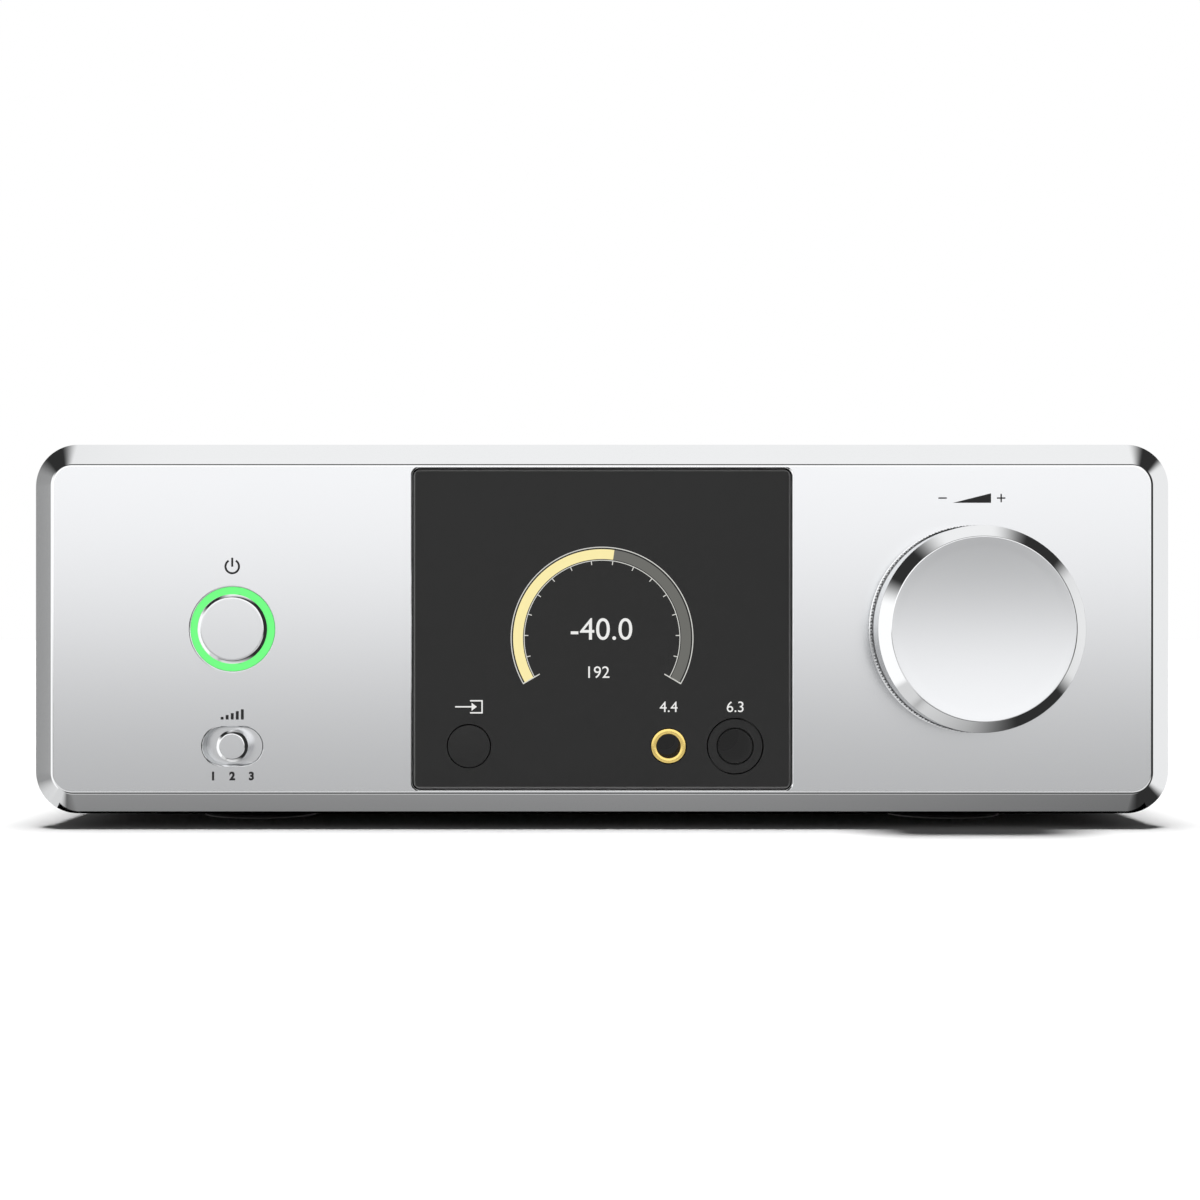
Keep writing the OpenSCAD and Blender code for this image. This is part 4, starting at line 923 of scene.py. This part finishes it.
def bar(x, z, left, bottom, right, top):
    return rounded_plate("bar", (x + left * MM, y_face - FILM, z + bottom * MM),
                         (x + right * MM, y_face + SUNK, z + top * MM), 0.08 * MM, 4)


def thicken(piece):
    """Push a flat drawing forwards, so that it becomes a thin plate."""
    whole(bpy.ops.mesh.extrude_region_move, TRANSFORM_OT_translate={"value": (0, -FILM - SUNK, 0)})
    close_up()
    return piece


def arc_band(x, z, inner, outer, start_at, end_at, steps):
    """Flat part of a ring. Angles are in degrees, clockwise from the top, as on a dial."""
    angle = math.radians(start_at)
    centre = Vector((x, y_face + SUNK, z))
    ray = Vector((math.sin(angle), 0, math.cos(angle))) * MM
    piece = draw_through([centre + ray * inner, centre + ray * outer])
    whole(bpy.ops.mesh.spin, steps=steps, angle=-math.radians(end_at - start_at), center=centre,
          axis=(0, 1, 0))
    whole(bpy.ops.mesh.remove_doubles, threshold=1e-6)
    return thicken(piece)


def polygon(x, z, corners):
    """A flat plate from a short list of corners, drawn by extruding one corner along them."""
    piece = draw_through([Vector((x + right * MM, y_face + SUNK, z + up * MM)) for right, up in corners])
    whole(bpy.ops.mesh.edge_face_add)
    return thicken(piece)


def figures(text, x, z, height, weight=0.0):
    """Figures of a true height, centred on (x, z)."""
    deselect()
    bpy.ops.object.text_add()
    piece = bpy.context.object
    piece.data.body = text
    piece.data.extrude = 0.02
    piece.data.offset = weight
    piece.data.resolution_u = 6
    bpy.ops.object.convert(target="MESH")
    low = [min(v.co[i] for v in piece.data.vertices) for i in range(3)]
    high = [max(v.co[i] for v in piece.data.vertices) for i in range(3)]
    size = height * MM / (high[1] - low[1])
    piece.location = (-(low[0] + high[0]) / 2, -(low[1] + high[1]) / 2, 0)
    apply_place(piece)
    piece.scale = (size, size, FILM / 0.04)
    piece.rotation_euler = (math.radians(90), 0, 0)
    piece.location = (x, y_face - FILM / 2 + SUNK / 2, z)
    apply_place(piece)
    edit(piece, "FACE")
    close_up(threshold=1e-7)
    return piece


def legend(name, material, *parts):
    piece = join(name, list(parts))
    wear(piece, material)
    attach(piece, "case")
    print(name, len(piece.data.polygons), "faces")


# %% [markdown]
# The power mark is a broken ring with a stroke. The gain mark is five rising bars over the figures 1, 2
# and 3 for its positions. The volume mark is a wedge between a minus and a plus.

# %% Legends on the panel
mark_z = z_mid + 11.9 * MM
legend("power_mark", DARK_INK, arc_band(power_x, mark_z - 0.15 * MM, 1.08, 1.46, 32, 328, 48),
       bar(power_x, mark_z, -0.19, -0.2, 0.19, 1.5))
gain_mark_z = z_low + 5.95 * MM
legend("gain_mark", DARK_INK, *[bar(power_x + i * 0.95 * MM, gain_mark_z, -0.27, -0.95, 0.27, 0.27 + 0.36 * i)
                                for i in range(-2, 3)])
for i in range(3):
    legend(f"gain_figure_{i + 1}", DARK_INK,
           figures(str(i + 1), power_x + (i - 1) * 3.6 * MM, z_low - 5.6 * MM, 1.65, 0.05))
volume_z = z_mid + 24.6 * MM
legend("volume_mark", DARK_INK, polygon(knob_x, volume_z, [(-3.6, -0.9), (3.6, -0.9), (3.6, 0.9)]),
       bar(knob_x, volume_z, -6.3, -0.13, -4.7, 0.13), bar(knob_x, volume_z, 4.7, -0.13, 6.3, 0.13),
       bar(knob_x, volume_z, 5.37, -0.8, 5.63, 0.8))

# %% [markdown]
# On the window the marks are white ink made to glow, as painted light: an arrow that enters a box for the
# source button, and the two jacks' plug sizes in millimetres.

# %% Legends on the window
mark_z = z_low + 7.4 * MM
legend("source_mark", WHITE_DISPLAY_LIGHT_AND_INK_GLOW, bar(source_x, mark_z, -2.6, -0.13, 0.9, 0.13),
       polygon(source_x, mark_z, [(0.5, -0.75), (1.5, 0), (0.5, 0.75)]),
       bar(source_x, mark_z, 0.2, 1.0, 2.6, 1.26), bar(source_x, mark_z, 0.2, -1.26, 2.6, -1.0),
       bar(source_x, mark_z, 2.34, -1.2, 2.6, 1.2))
legend("balanced_jack_figure", WHITE_DISPLAY_LIGHT_AND_INK_GLOW, figures("4.4", balanced_x, mark_z, 2.0))
legend("stereo_jack_figure", WHITE_DISPLAY_LIGHT_AND_INK_GLOW, figures("6.3", stereo_x, mark_z, 2.0))

# %% [markdown]
# ## The display
# A dial of 240 degrees shows the level. Its lit part is yellow and the rest grey. Fine lines outline it,
# and short ticks point inwards every 16 degrees. The level stands in the middle, and below it a smaller
# figure gives the sample rate.

# %% Dial
dial_end, level_at = 120, 8  # degrees from the top
dial = (0.0, z_mid - 1.7 * MM)
legend("dial_level_light", LIT_YELLOW, arc_band(*dial, 14.85, 16.7, -dial_end, level_at, 96))
legend("dial_rest_light", LIT_GREY, arc_band(*dial, 14.85, 16.7, level_at, dial_end, 84))
ticks = [arc_band(*dial, 13.85, 14.7, at - 0.35, at + 0.35, 1) for at in range(-104, 105, 16)]
ticks += [arc_band(*dial, 13.5, 17.15, at - 0.4, at + 0.4, 1) for at in (-dial_end, dial_end)]
legend("dial_outline_light", LIT_LINE, arc_band(*dial, 16.98, 17.16, -dial_end, dial_end, 150),
       arc_band(*dial, 14.55, 14.7, -dial_end, dial_end, 150), *ticks)
legend("level_figures_light", WHITE_DISPLAY_LIGHT_AND_INK_GLOW, figures("-40.0", -0.1 * MM, z_mid, 4.1))
legend("rate_figures_light", WHITE_DISPLAY_LIGHT_AND_INK_GLOW, figures("192", -0.6 * MM, z_mid - 8.1 * MM, 2.2))

# %% [markdown]
# ## Finished copies of the outer shell
# The cover, tray, rear panel and connectors have the right shape in the model, but every edge is
# perfectly sharp. A copy is merged into clean faces, its edges are broken by a few tenths of a
# millimetre, and it stands for the sharp one.

# %% Copy and finish a node
def finished_copy(node, name, body, slot, materials, width):
    """The width of the broken edges is in mm."""
    piece = bpy.data.objects.new(name, frame["nodes"][node].data.copy())
    scene.collection.objects.link(piece)
    edit(piece, "VERT")
    whole(bpy.ops.mesh.remove_doubles, threshold=1e-6)
    whole(bpy.ops.mesh.dissolve_limited, angle_limit=math.radians(1.5))
    leave_edit()
    break_edges(piece, width * MM, angle=35)
    dress(piece, 30, materials, body, slot, node)
    print(name, len(piece.data.polygons), "faces")
    return piece


shell = [
    ("top_cover", "top_cover_folded", "folded_aluminium", FOLDED, 0.25),
    ("base_tray", "base_tray_folded", "folded_aluminium", FOLDED, 0.25),
    ("rear_panel", "rear_panel_sheet", "folded_aluminium", FOLDED, 0.15),
    ("feet", "feet_moulded", "moulded_black", BLACK_ABS, 0.4),
    ("foot_pads", "foot_pads_pressed", "foot_rubber", RUBBER, 0.4),
    ("mains_inlet", "mains_inlet_moulded", "moulded_black", BLACK_ABS, 0.3),
    ("xlr_sockets", "xlr_sockets_cast", "steel_plated", ZINC, 0.25),
    ("usb_socket", "usb_socket_shell", "steel_plated", ZINC, 0.1),
    ("optical_socket", "optical_socket_moulded", "moulded_black", BLACK_ABS, 0.2),
    ("rca_shells", "rca_shells_plated", "jack_gold", GOLD, 0.12),
]
for node, name, slot_name, material, width in shell:
    finished_copy(node, name, "case", slot_name, [material], width)
finished_copy("optical_shutter", "optical_shutter_flap", "shutter", "moulded_black", [BLACK_ABS], 0.08)

# %% [markdown]
# Phono sockets show their channel by the colour of the insert: white is left, red is right, and orange
# is digital. One copy holds all five, and each face takes its colour from where it lies.

# %% Phono inserts by colour
inserts = finished_copy("rca_inserts", "rca_inserts_moulded", "case", "moulded_white",
                        [WHITE_ABS, RED_ABS, ORANGE_ABS], 0.1)
heights = [v.co.z for v in inserts.data.vertices]
split_z = (min(heights) + max(heights)) / 2
first_x = min(v.co.x for v in inserts.data.vertices)
paint(inserts, 1, lambda f: f.center.z < split_z)
paint(inserts, 2, lambda f: f.center.x < first_x + 9 * MM)

# %% [markdown]
# ## Finishes for the rest
# The remaining nodes already have the shape they need, so each one only gets the right finish. The table
# pairs node and material, and every CAD piece that still shows is in it.

# %% Finishes on the model's own pieces
finishes = {
    SATIN: ["side_rails", "transformer_mount"],
    MILLED: ["front_subframe"],
    ZINC: ["board_screws", "encoder_shaft", "encoder_nut", "connector_pins", "foot_screws"],
    BLACK_OXIDE: ["case_screws", "panel_screws", "front_screws", "knob_set_screw"],
    BRASS: ["board_standoffs"],
    BOARD: ["front_boards", "jack_board", "power_board", "main_board", "amp_board"],
    BLACK_ANODISED: ["heatsink"],
    EPOXY: ["audio_chips", "power_transistors", "bridge_rectifier"],
    SLEEVE: ["filter_capacitors"],
    INSULATOR: ["output_relays"],
    TAPE: ["transformer"],
    RUBBER: ["transformer_pads"],
    FUSE_GLASS: ["mains_fuse"],
    RIBBON: ["ribbon_cables"],
    LEADS: ["power_leads"],
    BLACK_ABS: ["lcd_module", "power_plunger", "button_switches", "gain_switch", "source_plunger",
                "encoder_body", "rca_housings"],
    WHITE_ABS: ["gain_actuator"],
    DARK_HOLE_PAINTED_GLOW: ["balanced_jack_body", "stereo_jack_body"],
}
for material, names in finishes.items():
    for name in names:
        wear(frame["nodes"][name], material)
finished = sum(finishes.values(), [])
left = [name for name, node in frame["nodes"].items() if name not in finished and not node.hide_render]
print("finished nodes:", len(finished), "without a finish:", left)

# %% [markdown]
# ## Floor and light
# The table is a matt white board. A product is lit by large soft boxes, and polished metal shows them as
# bright and dark bands, so their places matter more than their number. Here the boxes are drawn on the
# sky itself, by direction. Matt surfaces get one wide, even light from above instead.

# %% Floor
deselect()
bpy.ops.mesh.primitive_plane_add(size=12, location=(0, 0, 0))
floor = bpy.context.object
floor.name = "floor"
wear(floor, grained("matt_white_board", "#fbfbfb", 0.0, 0.9, 0.5, 0.03, specular=0.0))
floor.visible_glossy = False
print("floor:", [round(v) for v in floor.dimensions], "m")

# %% [markdown]
# Black cards go where a shine isn't wanted. One lies under the case, where only reflections can see it:
# a sheet of painted shade that keeps light out of the shadow between the tray and the table.

# %% Black card of painted shade under the case
tray_low, tray_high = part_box("base_tray")
card_front = y_face + 4 * MM
deselect()
bpy.ops.mesh.primitive_plane_add(size=1, location=(0, (card_front + tray_high.y) / 2, 0.3 * MM))
card = bpy.context.object
card.name = "painted_shade_card"
card.scale = (tray_high.x - tray_low.x, tray_high.y - card_front, 1)
apply_place(card)
# near-black sheet seen only by reflections: painted shade for the shadow under the case
wear(card, grained("black_painted_shade_card", "#020202", 0.0, 1.0, 1, 0.0, specular=0.0))
for ray in ("camera", "diffuse", "shadow", "transmission", "volume_scatter"):
    setattr(card, "visible_" + ray, False)
print("card:", [round(v / MM) for v in card.dimensions], "mm")

# %% [markdown]
# The sky is a chain of simple sums. Each box is a product of soft steps along directions, and the
# brightest box wins. Rays that go straight to the camera see plain white, and light that has already
# met a matt surface sees an even dim grey, so that nothing bright leaks into the shadow.

# %% Soft boxes on the sky
sky = bpy.data.worlds.new("studio")
scene.world = sky
sky.use_nodes = True
sky.node_tree.nodes.clear()
where = add(sky, "ShaderNodeTexCoord")
axes = add(sky, "ShaderNodeSeparateXYZ", links={0: where.outputs["Generated"]})


def soft_step(axis, start_at, end_at, low=0.0, high=1.0):
    """From low to high as one direction component goes from start_at to end_at."""
    return add(sky, "ShaderNodeMapRange",
               {"interpolation_type": "SMOOTHSTEP", "From Min": start_at, "From Max": end_at,
                "To Min": low, "To Max": high}, {"Value": axes.outputs["xyz".index(axis)]}).outputs[0]


def combine(operation, outputs):
    total = outputs[0]
    for output in outputs[1:]:
        total = add(sky, "ShaderNodeMath", {"operation": operation}, {0: total, 1: output}).outputs[0]
    return total


boxes = {
    "front wall, darker just below the table's far edge": [
        ("y", -0.35, -0.75), ("x", 0.68, 0.50), ("z", 0.76, 0.62), ("z", -0.60, -0.45),
        ("z", -0.055, 0.027, 0.41, 1.26)],
    "table in front": [("y", -0.45, -0.70), ("z", -0.14, -0.22), ("z", -0.64, -0.52, 0.0, 0.8)],
    "overhead strip from front to back": [
        ("x", -0.60, -0.20), ("x", 0.62, 0.26), ("z", 0.30, 0.60), ("y", -0.36, -0.20, 0.0, 0.94)],
    "left wall, white in front and grey behind": [
        ("x", -0.62, -0.80), ("z", 0.60, 0.28), ("z", -0.80, -0.60), ("y", 0.275, 0.215, 0.30, 1.10)],
    "table on the left": [("x", -0.42, -0.62), ("z", -0.05, -0.50, 0.0, 0.72)],
    "right wall, bright behind and black in front": [
        ("x", 0.74, 0.86), ("z", 0.60, 0.40), ("z", -0.56, -0.36), ("y", 0.0, 0.26, 0.02, 0.90)],
    "below, from the front and the left": [
        ("z", -0.74, -0.90), ("y", 0.17, -0.14, 0.15, 0.80), ("y", -0.46, -0.16),
        ("x", 0.64, 0.0, 0.05, 1.0)],
    "back wall": [("y", 0.35, 0.65), ("z", -0.15, 0.15, 0.35, 0.85)],
}
lights = [combine("MULTIPLY", [soft_step(*step) for step in steps]) for steps in boxes.values()]
dimmest = soft_step("z", -2, 2, 0.03, 0.03)
rays = add(sky, "ShaderNodeLightPath")
scattered = add(sky, "ShaderNodeMath", {"operation": "GREATER_THAN", 1: 0.5},
                {0: rays.outputs["Diffuse Depth"]})
brightest = combine("MAXIMUM", lights + [dimmest])
even = add(sky, "ShaderNodeMix", {"data_type": "FLOAT", "B": 0.07},
           {"Factor": scattered.outputs[0], "A": brightest})
plain = add(sky, "ShaderNodeMix", {"data_type": "FLOAT", "B": 1.0},
            {"Factor": rays.outputs["Is Camera Ray"], "A": even.outputs["Result"]})
glow = add(sky, "ShaderNodeBackground", {"Color": (1, 1, 1, 1)}, {"Strength": plain.outputs["Result"]})
add(sky, "ShaderNodeOutputWorld", links={"Surface": glow.outputs[0]})
print("sky boxes:", list(boxes))

# %% [markdown]
# One wide light shines almost straight down from far above, like a ceiling of lamps. It fills the table
# with light right up to the panel, and leaves the soft shadows of the case and the knob. Its angle is its
# apparent size, which sets how soft the shadow's edge is. Polished metal doesn't show it.

# %% Overhead light
lamp_data = bpy.data.lights.new("overhead_light", "SUN")
lamp_data.energy = 3.45
lamp_data.angle = math.radians(22)
lamp = bpy.data.objects.new("overhead_light", lamp_data)
scene.collection.objects.link(lamp)
lamp.rotation_euler = (math.radians(1.5), 0, 0)
lamp.visible_glossy = False
print("overhead light:", lamp_data.energy, "W per square metre")
